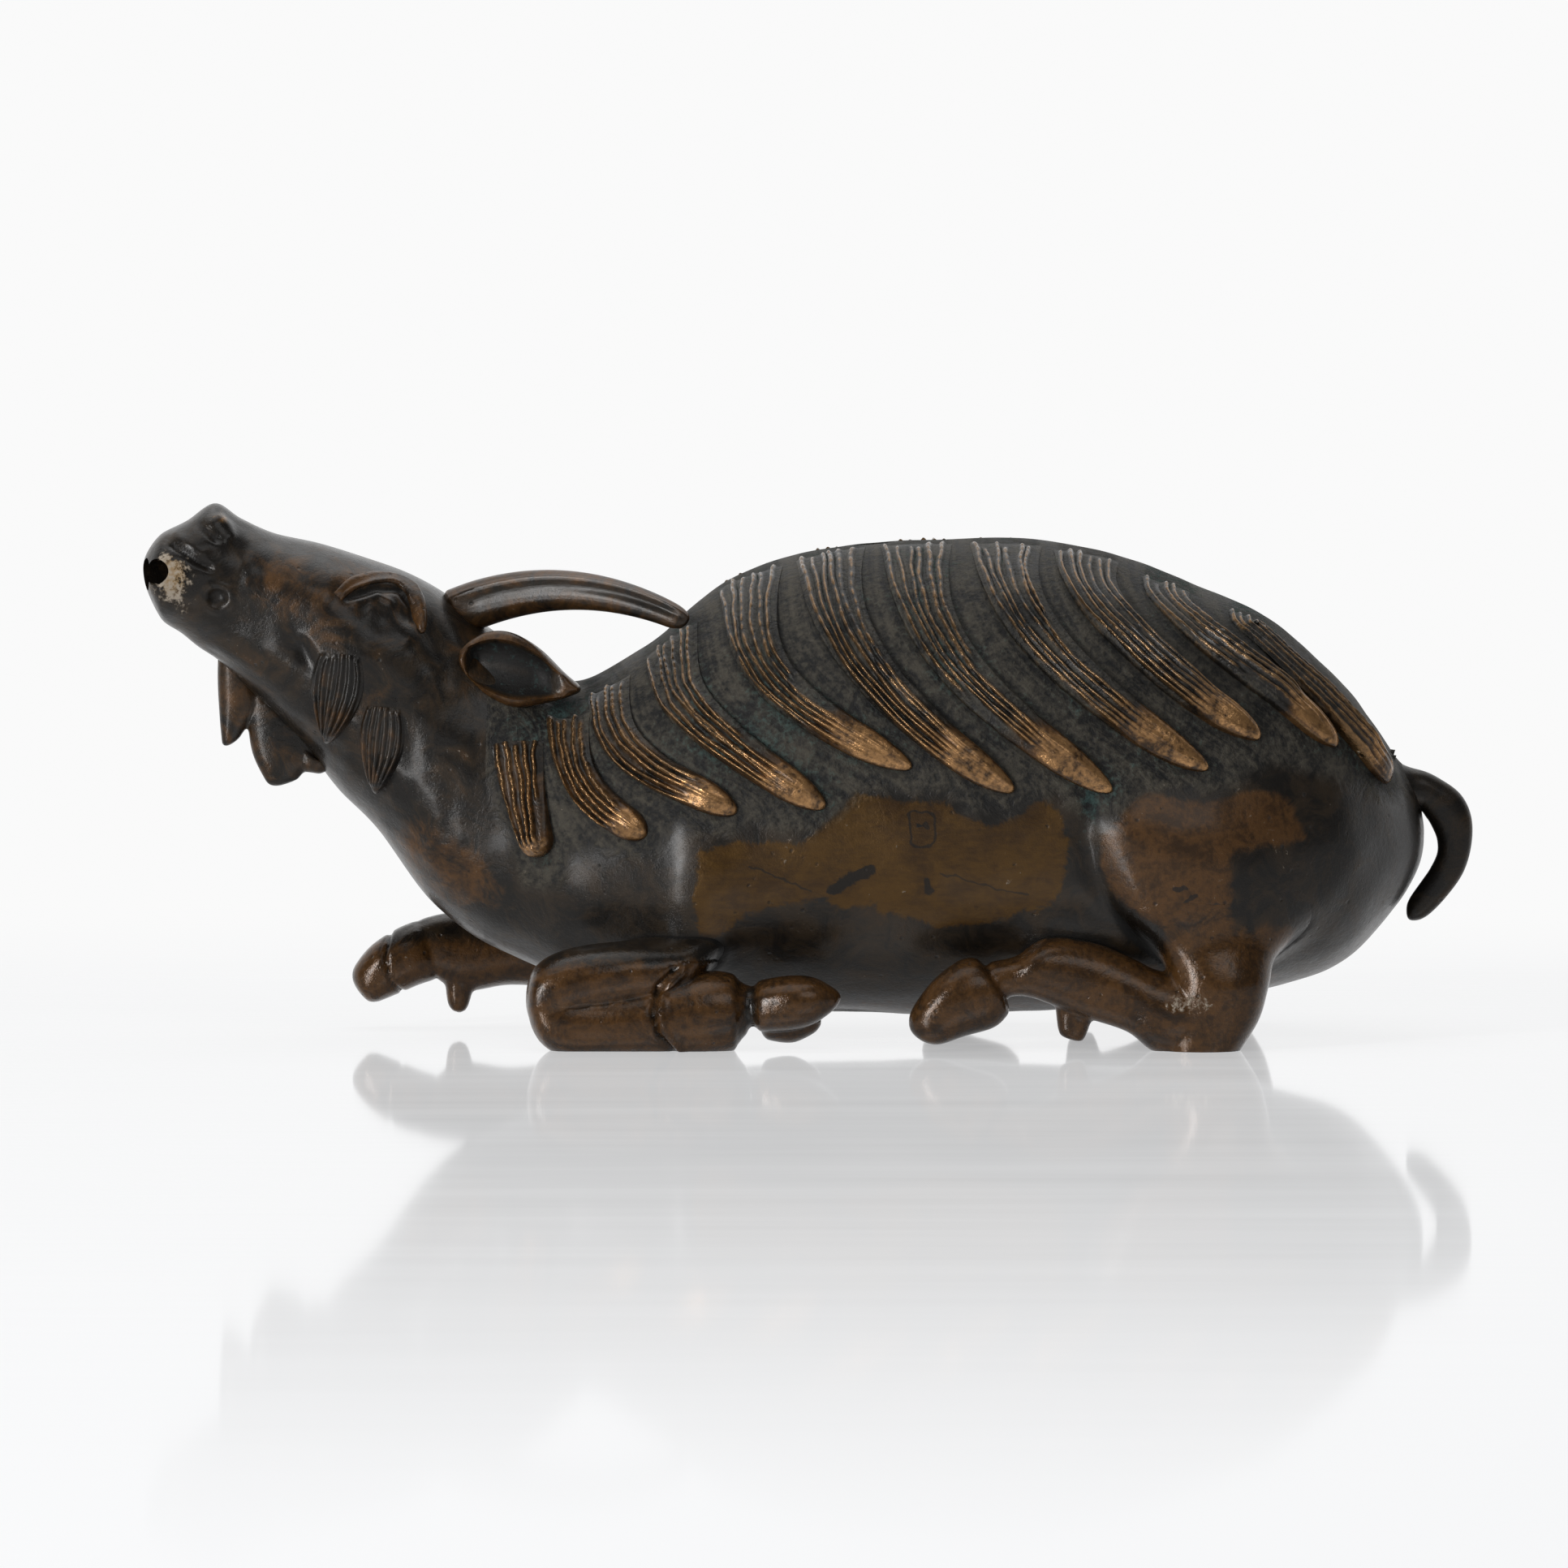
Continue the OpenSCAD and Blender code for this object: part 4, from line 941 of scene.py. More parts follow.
NEAR_FORE = (
    ([[26, 12, 22, 7, 0.92, 3.2], [21, 11.4, 20.4, 5, 0.95, 4.4], [15.6, 11.4, 15.6, 4.4, 0.97, 5],
      [10, 10.8, 11, 3.6, 0.99, 4.8], [6.6, 9.6, 7, 2.6, 1.01, 4.2], [4.6, 7.6, 4.6, 3, 1.02, 3.2]],
     0.16, 0.12),
    ([[4.8, 6.8, 4.8, 2.2, 1.02, 3], [8, 6.6, 8, -0.4, 1.02, 3.8], [14, 6.2, 14, -0.5, 1.02, 3.8],
      [20, 7.4, 20, -0.5, 1.02, 4], [24, 8, 24, -0.2, 1.02, 4], [26.6, 7.6, 26.6, 0.4, 1.02, 3.6],
      [28.4, 6.9, 28.2, 1.8, 1.02, 3]], 0.1, 0.06),
    ([[28, 7.2, 28.2, 2, 1.06, 3.2], [31.8, 7.9, 32, 2.2, 1.1, 3.5], [34.8, 7.7, 34.6, 2.9, 1.12, 3],
      [37.7, 6, 37, 4.6, 1.14, 1.2]], 0.1, 0.12),
    ([[28.6, 3.8, 29.2, 1.1, 0.94, 2.6], [32.4, 4.4, 32.4, 0.7, 0.94, 2.8], [35.6, 3.4, 35.2, 2, 0.94, 1.4]],
     0.15, 0.15))
NEAR_HIND = (
    ([[69, 25.8, 84, 27, 0.85, 3], [65.8, 23, 88, 23.5, 0.93, 4], [65.1, 18.8, 88.4, 18.4, 0.97, 4.8],
      [67, 14.6, 86.4, 14, 1.01, 4.8], [70.4, 10.8, 83, 10.2, 1.01, 4.5], [71.6, 7.2, 82, 6.6, 1.02, 4.2],
      [70.8, 3.6, 81, 3.2, 1.02, 3.9], [71.2, -0.6, 78.8, -0.4, 1.02, 3.5]], 0.12, 0),
    ([[78.2, 7, 78.8, 0.6, 1.02, 3.4], [71.3, 8.1, 71, -0.4, 1.03, 3.5], [67.8, 9.5, 67.2, 2, 1.04, 3],
      [63.6, 11, 62.4, 3.6, 1.05, 2.8], [59, 11.5, 57.2, 5.6, 1.06, 2.9], [55.8, 9.8, 54.6, 5.6, 1.06, 2.4],
      [52.4, 9.2, 54, 5.2, 1.06, 2.4]], 0.06, 0.05),
    ([[52, 9.6, 55.4, 4.6, 1.07, 2.9], [49.9, 9.5, 53.6, 2.6, 1.08, 3.2], [47.4, 7.8, 50.4, 1.6, 1.09, 3.1],
      [45.4, 5.4, 47.4, 0.7, 1.1, 2.4], [44.2, 3.2, 45, 1.4, 1.1, 1.2]], 0.1, 0.14),
    ([[59.6, 6, 64, 4.6, 1.02, 1.6], [60, 2.4, 63, 1.6, 1.02, 1.3], [60.4, 1.4, 62.4, 0.8, 1.02, 0.8]],
     0, 0.2))
FAR_FORE = (
    ([[24, 12, 26, -0.6, 0.88, 4], [15, 13, 15, -0.4, 0.87, 4.4], [7.4, 12.6, 7, 3.6, 0.84, 3.9],
      [2.4, 12.3, 2.4, 4.4, 0.8, 3.4], [-2.4, 12.4, -2, 3.8, 0.76, 3.1], [-5.4, 12, -4.6, 4.6, 0.73, 2.9],
      [-7.6, 11.4, -5.6, 5.4, 0.71, 2.6]], 0.05, 0.05),
    ([[-7, 11.6, -5.2, 5.2, 0.71, 2.9], [-9.6, 10.6, -7.2, 4.6, 0.7, 3.3], [-12.4, 8.8, -9.6, 3.6, 0.69, 3.2],
      [-14.2, 6.6, -12, 2.7, 0.68, 2.4], [-14.6, 5, -13.2, 3, 0.68, 1.2]], 0.1, 0.14),
    ([[-4.6, 5.4, -1.4, 5.2, 0.72, 1.5], [-4.4, 2.8, -2, 2.6, 0.72, 1.2],
      [-3.8, 1.6, -2.6, 1.5, 0.72, 0.7]], 0, 0.2))


# In the picture: the front edge of the block on the near foreleg, and the split of the far front hoof.
BLOCK_EDGE = ((838, 1190), (818, 1210), (811, 1240), (818, 1268), (838, 1290))
HOOF_SPLIT = ((477, 1146), (471, 1176), (478, 1208), (492, 1222))


def block_relief(p):
    """The fetlock of the near foreleg: a raised block with an arched front edge, and the bands behind it."""
    side = p[:, [0, 2]]
    gap, _ = near_line(side, spots(BLOCK_EDGE, 12))
    edge_x = np.interp(side[:, 1], (0, 2, 4.3, 6.8, 8.6), (-13.4, -15.2, -15.8, -15.2, -13.4))
    behind = side[:, 0] - edge_x
    block = 0.3 * smooth(behind, -0.2, 0.5) * (1 - smooth(side[:, 0], -7.9, -7.1)) * (side[:, 1] < 9.4)
    bead = 0.3 * np.exp(-((gap - 0.35) / 0.4) ** 2) * (behind > -0.3)
    bead = bead - 0.4 * np.exp(-((gap - 0.3) / 0.35) ** 2) * (behind < 0)
    pastern = -0.35 * np.exp(-((side[:, 0] + 6.4) / 0.9) ** 2)
    return block + bead * smooth(9.2 - side[:, 1], 0, 0.8) + pastern


def leg(name, parts, far, shift):
    """A folded leg fused from its forms. A hind leg's thigh follows the taper of the body."""
    objs = []
    for k, (rows, e0, e1) in enumerate(parts):
        grid = limb_grid(leg_rows(rows), 50, 40, e0, e1, (shift, 0, 0))
        if "hind" in name:
            fall = np.maximum(0, 23.6 - body_rows(grid[..., 0].ravel())[:, 5].reshape(grid.shape[:2]))
            grid[..., 1] += fall * smooth(grid[..., 2], 6, 14)
        if far:
            grid = grid * np.array([1, -1, 1])
        objs.append(wrapped(f"{name}_{k}", grid))
    obj = fused(name, objs, 0.26, 8)
    p = points(obj)
    if name.startswith("near_fore"):
        p = p + normals(obj) * block_relief(p)[:, None]
    if name.startswith("far_fore"):
        gap, _ = near_line(p[:, [0, 2]], spots(HOOF_SPLIT, -11))
        p = p - normals(obj) * (0.28 * np.exp(-(gap / 0.24) ** 2))[:, None]
    p[:, 2] = np.maximum(p[:, 2], 0.02)
    put(p, obj)
    return obj


class Pieces:
    """What one operator leaves for the next: the finishes by name, the casting's skin and its pieces."""
    finish = {}
    limbs = []
    skin = seam = body = head = tail = None


def hull_tree(obj):
    corners = [v.co.copy() for v in obj.data.vertices]
    return BVHTree.FromPolygons(corners, [tuple(f.vertices) for f in obj.data.polygons])


def distances(obj, tree, reach):
    """Distance in mm from each point of a mesh to another solid: below 0 inside it, reach where it is far."""
    p = points(obj)
    gap = np.full(len(p), float(reach))
    for i, q in enumerate(p):
        place, normal, index, d = tree.find_nearest(Vector(q) * MM, reach * MM)
        if place is not None:
            gap[i] = d / MM * (1 if (Vector(q) * MM - place).dot(normal) > 0 else -1)
    return gap


def melted(obj, tree, reach):
    """Raises the surface towards another solid, as where wax forms are melted together."""
    gap = distances(obj, tree, reach)
    rise = np.clip(reach - np.maximum(gap, 0), 0, None) ** 2 / (4 * reach)
    put(points(obj) + normals(obj) * rise[:, None], obj)


def crevice(obj, others, reach=2.5):
    """1 in the crease where a mesh meets other solids, fading to 0 at reach mm from them: the mask of painted
    shade in creases.
    """
    mask = np.zeros(len(obj.data.vertices))
    for other in others:
        mask = np.maximum(mask, 1 - smooth(np.abs(distances(obj, hull_tree(other), reach)), 0, reach))
    return mask


class DROPPER_OT_finishes(bpy.types.Operator):
    """Makes the bronze finishes"""
    bl_idname = "dropper.finishes"
    bl_label = "Make finishes"

    def execute(self, context):
        settings = context.scene.dropper_finish
        f = Pieces.finish
        f["casting"] = bronze("dark_patina_bronze", settings, brown=0.12, green=-0.05, marked=True)
        f["head"] = bronze("head_patina_bronze", settings, brown=0.24, polish=0.08)
        f["legs"] = bronze("rubbed_brown_bronze", settings, brown=0.06, green=-0.1, polish=0.2)
        f["hair"] = bronze("polished_hair_bronze", settings, brown=0.15, green=0.05, polish=0.08)
        f["horn"] = bronze("horn_bronze", settings, brown=0.3, green=-0.1, polish=0.06)
        return {"FINISHED"}


class DROPPER_OT_casting(bpy.types.Operator):
    """Models the hollow body and the head as one skin, parted at the neck"""
    bl_idname = "dropper.casting"
    bl_label = "Body and head"

    def execute(self, context):
        form = context.scene.dropper_form
        skin, seam = casting(form)
        Pieces.skin, Pieces.seam = skin, seam
        body = wrapped("body_casting", skin.grid[seam:])
        drill(body, (AIR_X, 0, 40), (AIR_X, 0, 60), AIR_D)
        finished(body, Pieces.finish["casting"], ["body_shell"])
        head = wrapped("head_casting", skin.grid[:seam + 1])
        drill(head, MOUTH - 5 * SPOUT_DIR, MOUTH + 12 * SPOUT_DIR, SPOUT_D)
        x, z = spot(*SIDE_OPENING)
        place = hull_tree(head).ray_cast(Vector((x, -40, z)) * MM, Vector((0, 1, 0)))[0]
        lip, inward = np.array(place) / MM, unit(np.array(SIDE_DIR))
        drill(head, lip - 3 * inward, lip + 3.2 * inward, SIDE_D, 24)
        finished(head, Pieces.finish["head"], ["head_and_neck"])
        Pieces.body, Pieces.head = body, head
        return {"FINISHED"}


class DROPPER_OT_mane(bpy.types.Operator):
    """Models every lock of the mane on the body's surface"""
    bl_idname = "dropper.mane"
    bl_label = "Mane"

    def execute(self, context):
        form = context.scene.dropper_form
        for far in (False, True):
            for i in range(len(LOCKS)):
                obj, name, grid, masks = mane_lock(Pieces.skin, i, far, form)
                crests, tips, hollow = carried(obj, grid, *masks)
                lower = smooth(-points(obj)[:, 2], -46, -26)
                # The hollows between the ridges get a little painted shade.
                mark_wear_and_shade(obj, 4, 0.09, 0.55, edge=crests * (0.8 + 0.3 * lower),
                          rub=tips * 0.72 + crests * (0.06 + 0.45 * lower), dip=0.2 * hollow,
                          brown=0.3 + 0.3 * lower, coarse=hollow * (0.95 - 0.6 * lower),
                          strand=strand_place(points(obj), Pieces.skin))
                finished(obj, Pieces.finish["hair"], [name], 60)
        return {"FINISHED"}


class DROPPER_OT_legs(bpy.types.Operator):
    """Models the folded legs, each fused from its own forms"""
    bl_idname = "dropper.legs"
    bl_label = "Legs"

    def execute(self, context):
        legs = (("near_foreleg", NEAR_FORE, False, 0.0), ("near_hind_leg", NEAR_HIND, False, 0.0),
                ("far_hind_leg", NEAR_HIND, True, 1.8), ("far_foreleg", FAR_FORE, True, 0.0))
        for name, parts, far, shift in legs:
            obj = leg(name + "_form", parts, far, shift)
            finished(obj, Pieces.finish["legs"], [name])
            Pieces.limbs.append(obj)
        return {"FINISHED"}


class DROPPER_OT_horn(bpy.types.Operator):
    """Models the horn"""
    bl_idname = "dropper.horn"
    bl_label = "Horn"

    def execute(self, context):
        root = np.array([SEAM_X - 3.6, -1.8, 44.6])
        tip_x, tip_a = 22.6, level_angle(0.87)
        run = Pieces.skin(tip_x, tip_a) + 2.3 * Pieces.skin.out(tip_x, tip_a) - root
        arch, thick, thin = 3.0, 5.2, 2.4
        rows = []
        for t in np.arange(0, 1.01, 0.125):
            c = root + run * t + np.array([0, 0, arch * 4 * t * (1 - t)])
            slope = run[2] / run[0] + arch * 4 * (1 - 2 * t) / run[0]
            up = unit(np.array([-slope, 1.0]))
            r = (thick + (thin - thick) * t ** 1.4) / 2
            rows.append([c[0] + up[0] * r, c[2] + up[1] * r, c[0] - up[0] * r, c[2] - up[1] * r,
                         c[1], r * 0.92, 0.6])
        grid = limb_grid(rows, 150, 72, 0.04, 0.08)
        a = np.arange(72) * 5.0
        a = np.where(a > 180, a - 360, a)
        t = np.linspace(0, 1, 150)[:, None]
        ridge = np.exp(-((a - 34) / 9) ** 2)[None] * smooth(t, 0.05, 0.2) * (1 - smooth(t, 0.75, 0.97))
        flute = np.exp(-((a - 2) / 20) ** 2)[None] * smooth(t, 0.1, 0.25) * (1 - smooth(t, 0.75, 0.95))
        grid = grid + surface_normals(grid) * (0.22 * ridge - 0.34 * flute)[..., None]
        # The upper side of the horn, which is painted lighter as a painted highlight.
        above = smooth(a, 30, 45)[None] * (1 - smooth(a, 120, 150))[None] + 0 * t
        obj = wrapped("horn_form", grid)
        ridge, flute, above = carried(obj, grid, ridge, flute, above)
        # Painted light: more brown and bright metal on the upper side is a painted highlight, and the flute
        # below is darkened as painted shade; the bright metal on the ridge is wear.
        mark_wear_and_shade(obj, 8, 0.1, 0.15, brown=0.1 + 0.2 * above, rub=0.12 * above + 0.1 * ridge, dip=0.4 * flute)
        finished(obj, Pieces.finish["horn"], ["horn"])
        return {"FINISHED"}


# The leaf of an ear: share of its length, and how far it reaches above and below its root, as shares of its
# width.
EAR_LEAF = np.array([[0, 0.2, -0.02], [0.1, 0.36, 0.2], [0.26, 0.48, 0.4], [0.45, 0.46, 0.51],
                     [0.65, 0.27, 0.48], [0.85, -0.04, 0.41], [1, -0.24, 0.32]])


def ear_grid(rings=90, sides=56):
    """A cupped leaf: a thick rim round a hollow face, on a rounded back."""
    root = np.array([SEAM_X - 2.6, -9.2, 40.6])
    length, width, thick, hollow = 12.8, 8, 1.7, 2.7
    t = (1 - np.cos(np.linspace(0, math.pi, rings))) / 2
    along, upper, lower = spline(EAR_LEAF, t * (len(EAR_LEAF) - 1)).T
    k = np.minimum(ease(t, 0.05), ease(1 - t, 0.05))
    half = (upper + lower) / 2 * width * k
    y = root[1] - 1.4 * np.sin(np.pi * np.minimum(1, along))
    a = np.radians(np.arange(sides) * 360 / sides)
    v, face = np.sin(a)[None], np.cos(a)[None]
    bowl = np.clip(1 - (np.abs(v) / 0.76) ** 2.6, 0, 1) ** 0.8 * (face > 0)
    deep = bowl * (smooth(t, 0.06, 0.22) * (1 - smooth(t, 0.62, 0.95)) * np.minimum(1, half / 2.4))[:, None]
    round_back = np.abs(face) ** (2 / FULLNESS) * np.sign(face)
    grid = np.stack([
        (root[0] + along * length)[:, None] + 0 * v,
        y[:, None] - (thick * k)[:, None] * round_back + hollow * deep,
        (root[2] - 1.2 + (upper - lower) / 2 * width)[:, None] + half[:, None] * v], -1)
    return grid, deep


class DROPPER_OT_ears(bpy.types.Operator):
    """Models the two cupped ears"""
    bl_idname = "dropper.ears"
    bl_label = "Ears"

    def execute(self, context):
        for far in (False, True):
            grid, deep = ear_grid()
            if far:
                grid = grid * np.array([1, -1, 1]) - np.array([0, 0, 1.1])
            name = "far_ear" if far else "near_ear"
            obj = wrapped(name + "_leaf", grid)
            deep, = carried(obj, grid, deep)
            # Painted shade: the cup is darker, with less brown and rubbed metal and with dip marked in it.
            mark_wear_and_shade(obj, 4, 0.1, 0.35, brown=0.3 - deep, rub=0.12 * (1 - deep),
                      dip=0.55 * smooth(deep, 0.1, 0.6))
            finished(obj, Pieces.finish["horn"], [name])
        return {"FINISHED"}


class DROPPER_OT_beard(bpy.types.Operator):
    """Models the beard under the jaw"""
    bl_idname = "dropper.beard"
    bl_label = "Beard"

    def execute(self, context):
        half = 1.5
        front = [[-28, 41.6, -24.2, 37.6, 0, half, 0.5], [-28.1, 38, -23.8, 35, 0, half, 0.5],
                 [-27.9, 34, -24.6, 33.6, 0, half * 0.8, 0.5], [-27.6, 30.6, -26, 31.4, 0, half * 0.4, 0.5]]
        rear = [[-25.2, 37.5, -16.5, 30, 0, half, 0.5], [-25, 34, -18, 29, 0, half, 0.5],
                [-24.4, 30, -18.8, 28.4, 0, half * 0.9, 0.5], [-22.6, 26.4, -19.8, 27.2, 0, half * 0.4, 0.5]]
        last = [[-20, 31, -16, 28.6, 0, half, 0.5], [-19.6, 29.4, -17.2, 28, 0, half * 0.8, 0.5],
                [-19.2, 28.2, -18.2, 28.1, 0, half * 0.4, 0.5]]
        turn = -HEAD_TURN * (24 / 36) ** 1.6
        objs = [wrapped("beard_part", limb_grid(rows, 50, 40, 0, 0.1, (SEAM_X, turn, 0)))
                for rows in (front, rear, last)]
        obj = fused("beard_form", objs, 0.2, 4)
        mark_wear_and_shade(obj, 8, 0.12, 0.2, brown=0.1)
        finished(obj, Pieces.finish["head"], ["beard"])
        return {"FINISHED"}


class DROPPER_OT_cheeks(bpy.types.Operator):
    """Models the flame-shaped tufts on the cheeks"""
    bl_idname = "dropper.cheeks"
    bl_label = "Cheek tufts"

    def execute(self, context):
        tufts = (("near_front_cheek_tuft", 7.1, 7.45, -7, -46, 6.0),
                 ("near_rear_cheek_tuft", 8.45, 8.87, -12, -45, 5.0),
                 ("far_front_cheek_tuft", 7.1, 7.45, 187, 226, 6.0),
                 ("far_rear_cheek_tuft", 8.45, 8.87, 192, 225, 5.0))
        for k, (name, t0, t1, a0, a1, w) in enumerate(tufts):
            def path(t):
                return t0 - len(HEAD) + (t1 - t0) * t, a0 + (a1 - a0) * t

            def width(t):
                return w * (0.7 + 1.3 * t * (1 - t)) * (1 - 0.85 * t ** 2.4)

            grid, crests, _, hollow = lock_points(Pieces.skin, path, width, 6, 40 + k, rings=90, edge=0.25,
                                                  tall=1.0, crest=0.36, wavy=0.15)
            obj = wrapped(name + "_hair", grid)
            crests, hollow = carried(obj, grid, crests, hollow)
            # The hollows between the strands get painted shade.
            mark_wear_and_shade(obj, 5, 0.09, 0.25, edge=0.1 * crests, dip=0.3 * hollow, brown=0.2)
            finished(obj, Pieces.finish["head"], [name], 60)
        return {"FINISHED"}


# The brow's line: head row, and angle round the head.
BROW_ARC = np.array([[6.7, 26], [7.0, 44], [7.6, 60], [8.15, 60], [8.6, 48], [8.85, 36]])


class DROPPER_OT_brows(bpy.types.Operator):
    """Models the brow band over each eye"""
    bl_idname = "dropper.brows"
    bl_label = "Brows"

    def execute(self, context):
        for k, name in enumerate(("near_brow", "far_brow")):
            def path(t):
                arc = spline(BROW_ARC, np.clip(t, 0, 1) * (len(BROW_ARC) - 1))
                return arc[:, 0] - len(HEAD), arc[:, 1] if name == "near_brow" else 180 - arc[:, 1]

            def width(t):
                return 1.9 * (0.55 + 0.45 * np.sin(math.pi * np.clip(t, 0.05, 0.95))) + 0 * t

            grid, *_ = lock_points(Pieces.skin, path, width, 2, 60 + k, tip=0.14, rings=110, across=32,
                                   edge=0.1, tall=0.55, crest=0.12)
            obj = wrapped(name + "_band", grid)
            mark_wear_and_shade(obj, 6, 0.09, 0.15, brown=0.35)
            finished(obj, Pieces.finish["head"], [name], 60)
        return {"FINISHED"}


class DROPPER_OT_tail(bpy.types.Operator):
    """Models the tail"""
    bl_idname = "dropper.tail"
    bl_label = "Tail"

    def execute(self, context):
        rows = [[-3.5, 28.6, -3.5, 25.2], [-0.4, 28.2, -0.6, 24.4], [1.8, 27.2, 0.4, 23.2],
                [3.9, 25.6, 1, 22], [5, 23.3, 1.4, 20.8], [5.05, 20.4, 1.4, 19.4], [4.2, 17.4, 0.7, 17.8],
                [2.4, 14.8, -0.2, 16.4], [0.4, 12.8, -1.4, 14.6], [-1.4, 12, -2, 13.2]]
        rows = [[RUMP_X + r[0], r[1], RUMP_X + r[2], r[3], 0, 1.8 * (1 - 0.05 * i), 0.5]
                for i, r in enumerate(rows)]
        obj = wrapped("tail_form", limb_grid(rows, 120, 48, 0, 0.08))
        finished(obj, Pieces.finish["casting"], ["tail"])
        Pieces.tail = obj
        return {"FINISHED"}


class DROPPER_OT_blends(bpy.types.Operator):
    """Melts the limbs and the tail into the body, and marks wear, patina, lime and painted shade"""
    bl_idname = "dropper.blends"
    bl_label = "Blends and wear"

    def execute(self, context):
        body, head = Pieces.body, Pieces.head
        skin, seam = Pieces.skin, Pieces.seam
        for limb, reach in [(obj, 3.2) for obj in Pieces.limbs] + [(Pieces.tail, 1.6)]:
            near, others = hull_tree(body), hull_tree(limb)
            melted(limb, near, reach)
            melted(body, others, reach)

        p = points(body)
        low = 1 - smooth(p[:, 2], 12, 17) * smooth(p[:, 0], 15, 20)
        flank = smooth(np.abs(p[:, 1]), 5, 11)
        # Painted shade on the body: a dark margin round the lock tips, and the low creases against the legs.
        shade = np.exp(-np.clip(gap_to_locks(p, skin), 0, 9) / 0.8) * 0.5
        mark_wear_and_shade(body, 10, 0.1, 0.25 * off_seam(p, skin, seam),
                  dip=shade + 0.7 * low * crevice(body, Pieces.limbs, 1.3),
                  gold=within(p, GOLDEN, 3.4) * flank,
                  brown=0.85 * within(p, HAUNCH_BROWN, 3.0) * flank + 0.3 * within(p, CHEST_BROWN, 4.0),
                  coarse=within(p, MANE_GROUND, 5.5), strand=strand_place(p, skin))

        p = points(head)

        def distance(centre, *sizes):
            return np.linalg.norm((p[:, [0, 2]] - spot(*centre)) / np.array(sizes), axis=1)

        crust = 0.98 * np.exp(-distance((219, 708), 2.1, 2.8) ** 2.4) * (p[:, 1] < -HEAD_TURN + 1)
        rubbed = 0.45 * np.exp(-distance((281, 640), 1.2, 1.2) ** 2)
        rubbed = rubbed + 0.55 * np.exp(-distance((578, 766), 1.4, 0.9) ** 2)
        tan = 0.2 * within(p, BROWN_FACE, 5.0) + 0.3 * within(p, CHEST_BROWN, 4.0)
        mark_wear_and_shade(head, 10, 0.1, 0.3 * off_seam(p, skin, seam), rub=rubbed, lime=crust, brown=tan)

        for limb in Pieces.limbs:
            p = points(limb)
            top = smooth(p[:, 2], 8.0, 11.0) * (1 - smooth(p[:, 0], 0, 6))
            low = 1 - smooth(p[:, 2], 11, 15)
            tan = 0.62 * np.maximum(within(p, HAUNCH_BROWN, 3.0), low) - 0.6 * top
            salts = 0.36 * within(p, LEG_SALTS, 1.5)
            # Painted shade in the low crease where a leg meets the body.
            mark_wear_and_shade(limb, 10, 0.14, 0.22, brown=tan, rub=0.04, lime=salts,
                      dip=0.9 * low * crevice(limb, [body], 1.3))
        mark_wear_and_shade(Pieces.tail, 8, 0.1, 0.2, brown=0.1)
        return {"FINISHED"}


class DROPPER_OT_plates(bpy.types.Operator):
    """Gives the belly plate and the flank patches their finish"""
    bl_idname = "dropper.plates"
    bl_label = "Plates"

    def execute(self, context):
        for name in ("belly_plate", "near_flank_patch", "far_flank_patch"):
            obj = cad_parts[name]
            obj.data.materials.clear()
            obj.data.materials.append(Pieces.finish["casting"])
        return {"FINISHED"}


LAMPS_AIM = Vector((0, 0, 0.02))
BACKDROP_WHITE = (0.955, 0.955, 0.955, 1)


def lamp(name, place, width, height, watts):
    """A softbox, in metres, that faces the figure."""
    data = bpy.data.lights.new(name, "AREA")
    data.shape = "RECTANGLE"
    data.size, data.size_y, data.energy = width, height, watts
    obj = bpy.data.objects.new(name, data)
    bpy.context.scene.collection.objects.link(obj)
    obj.location = place
    obj.rotation_euler = (LAMPS_AIM - Vector(place)).to_track_quat("-Z", "Y").to_euler()


def studio(scene):
    """A white backdrop for the camera, for shiny things and behind clear ones, and a dim room before it."""
    scene.world = bpy.data.worlds.new("studio")
    s = Shader(scene.world, "ShaderNodeOutputWorld")
    direction = s.node("ShaderNodeSeparateXYZ", {}, (s.coordinates.outputs["Generated"],))
    behind = Value(s, direction.outputs["Y"]).step(-0.1, 0.35)
    room = s.node("ShaderNodeBackground", {}, ((0.9, 0.95, 1, 1), 0.10))
    backdrop = s.node("ShaderNodeBackground", {}, (BACKDROP_WHITE, 1.0))
    s.finish(s.node("ShaderNodeMixShader", {}, (s.seen(behind), room, backdrop)))


def glossy_table(settings):
    """A pale table that mirrors most at a low angle. It glows in the picture alone and fades to white."""
    s = Shader(bpy.data.materials.new("glossy_table"))
    y = Value(s, s.node("ShaderNodeSeparateXYZ", {}, (s.place,)).outputs["Y"])
    streaks = s.noise(1.0, 4, 0.6, place=s.stretched((9, 70, 1)))
    share = (y.step(-0.55, -0.08, 0.015, 0.38) + y.step(-0.07, 0.0, 0.0, 0.07)) * (0.8 + streaks * 0.4)
    seen = s.seen()
    diffuse = s.node("ShaderNodeBsdfDiffuse", {}, {"Color": (*settings.floor, 1)})
    glow = s.node("ShaderNodeEmission", {}, {"Color": (0.985, 0.99, 1, 1), "Strength": settings.floor_glow})
    glowing = s.node("ShaderNodeAddShader", {}, (diffuse, glow))
    base = s.node("ShaderNodeMixShader", {}, (seen, diffuse, glowing))
    gloss = s.node("ShaderNodeBsdfGlossy", {}, {"Color": (1, 1, 1, 1), "Roughness": 0.05})
    front = s.node("ShaderNodeMixShader", {}, (share, base, gloss))
    white = s.node("ShaderNodeEmission", {}, {"Color": BACKDROP_WHITE, "Strength": 1.0})
    rear = s.node("ShaderNodeMixShader", {}, (seen, diffuse, white))
    return s.finish(s.node("ShaderNodeMixShader", {}, (y.step(0.06, 0.22), front, rear)))


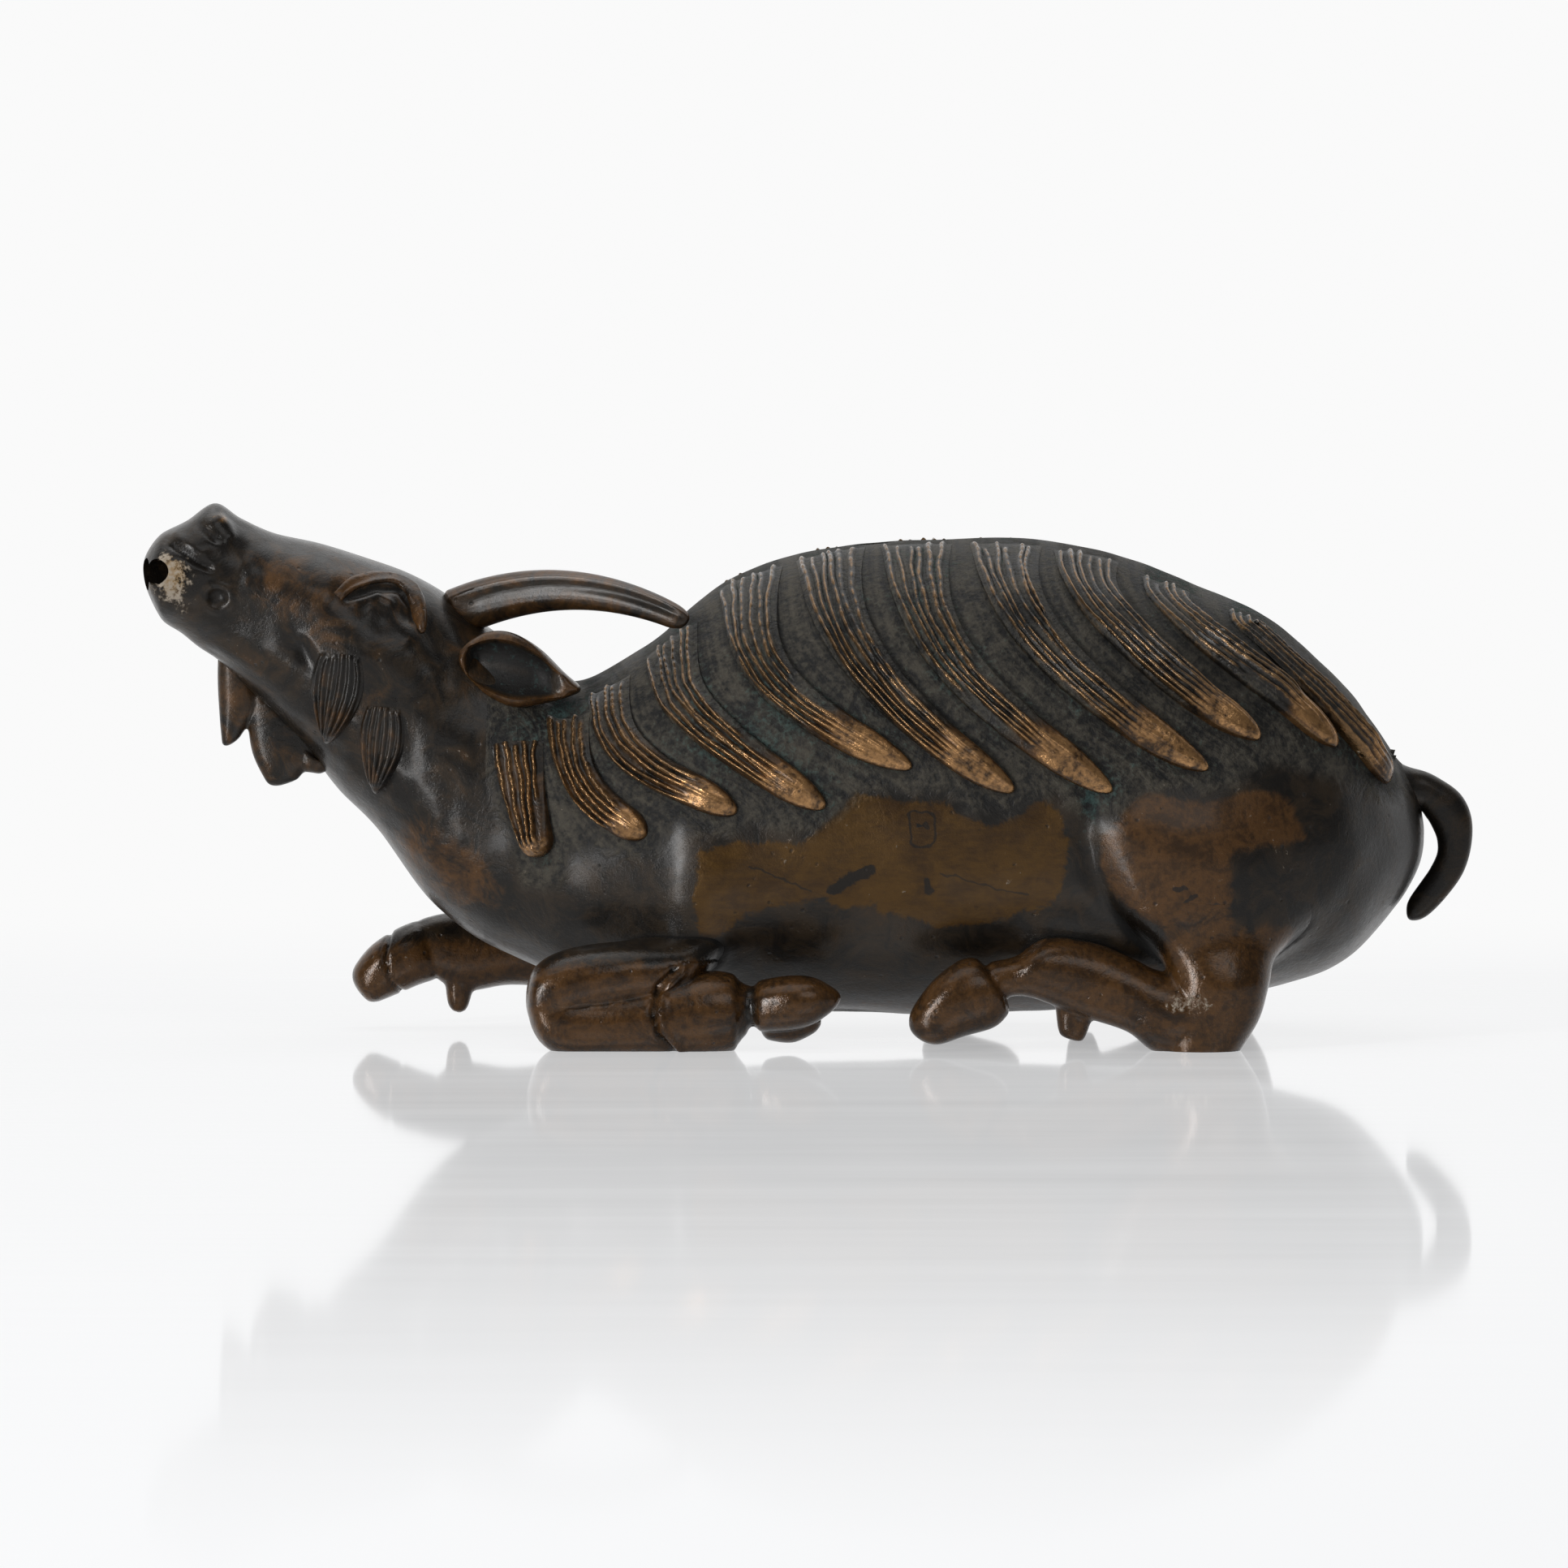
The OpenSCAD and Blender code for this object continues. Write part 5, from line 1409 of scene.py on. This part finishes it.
def camera(scene, settings):
    """The camera of the photograph: the figure's side from a little above the table."""
    centre, e = Vector((-2.5, 0, 26.7)) * MM, settings.elevation
    data = bpy.data.cameras.new("camera")
    data.sensor_width = 36
    data.lens = data.sensor_width * settings.distance / settings.frame_width
    data.clip_end = 20
    obj = bpy.data.objects.new("camera", data)
    scene.collection.objects.link(obj)
    obj.location = centre + settings.distance * Vector((0, -math.cos(e), math.sin(e)))
    obj.rotation_euler = (centre - obj.location).to_track_quat("-Z", "Y").to_euler()
    scene.camera = obj


class DROPPER_OT_stage(bpy.types.Operator):
    """Sets up the glossy table, the pale backdrop, the lamps and the camera"""
    bl_idname = "dropper.stage"
    bl_label = "Stage"

    def execute(self, context):
        scene, settings = context.scene, context.scene.dropper_stage
        only()
        bpy.ops.mesh.primitive_plane_add(size=4, location=(0, -1.75, 0))
        floor = context.active_object
        floor.name = "table"
        bpy.ops.object.transform_apply()
        floor.data.materials.append(glossy_table(settings))

        studio(scene)
        lamp("left_strip", (-0.75, -0.85, 0.26), 0.17, 0.5, 6.5)
        lamp("top_softbox", (-0.1, 0.05, 1.0), 1.5, 0.8, 4)
        lamp("front_softbox", (0.4, -1.3, 1.0), 0.9, 0.7, 3)
        camera(scene, settings)
        scene.view_settings.view_transform = "Standard"
        return {"FINISHED"}


class DROPPER_PT_panel(bpy.types.Panel):
    bl_label = "Water dropper"
    bl_idname = "DROPPER_PT_panel"
    bl_space_type = "VIEW_3D"
    bl_region_type = "UI"
    bl_category = "Dropper"

    def draw(self, context):
        for operator in OPERATORS:
            self.layout.operator(operator.bl_idname)


OPERATORS = (DROPPER_OT_finishes, DROPPER_OT_casting, DROPPER_OT_mane, DROPPER_OT_legs, DROPPER_OT_horn,
             DROPPER_OT_ears, DROPPER_OT_beard, DROPPER_OT_cheeks, DROPPER_OT_brows, DROPPER_OT_tail,
             DROPPER_OT_blends, DROPPER_OT_plates, DROPPER_OT_stage)
CLASSES = (DropperFinish, DropperForm, DropperStage) + OPERATORS + (DROPPER_PT_panel,)


def register():
    for c in CLASSES:
        bpy.utils.register_class(c)
    scene = bpy.types.Scene
    scene.dropper_finish = PointerProperty(type=DropperFinish)
    scene.dropper_form = PointerProperty(type=DropperForm)
    scene.dropper_stage = PointerProperty(type=DropperStage)


def unregister():
    for c in reversed(CLASSES):
        bpy.utils.unregister_class(c)
    del bpy.types.Scene.dropper_finish
    del bpy.types.Scene.dropper_form
    del bpy.types.Scene.dropper_stage


def main():
    register()
    for operator in OPERATORS:
        group, name = operator.bl_idname.split(".")
        getattr(getattr(bpy.ops, group), name)()


if __name__ == "__main__":
    main()
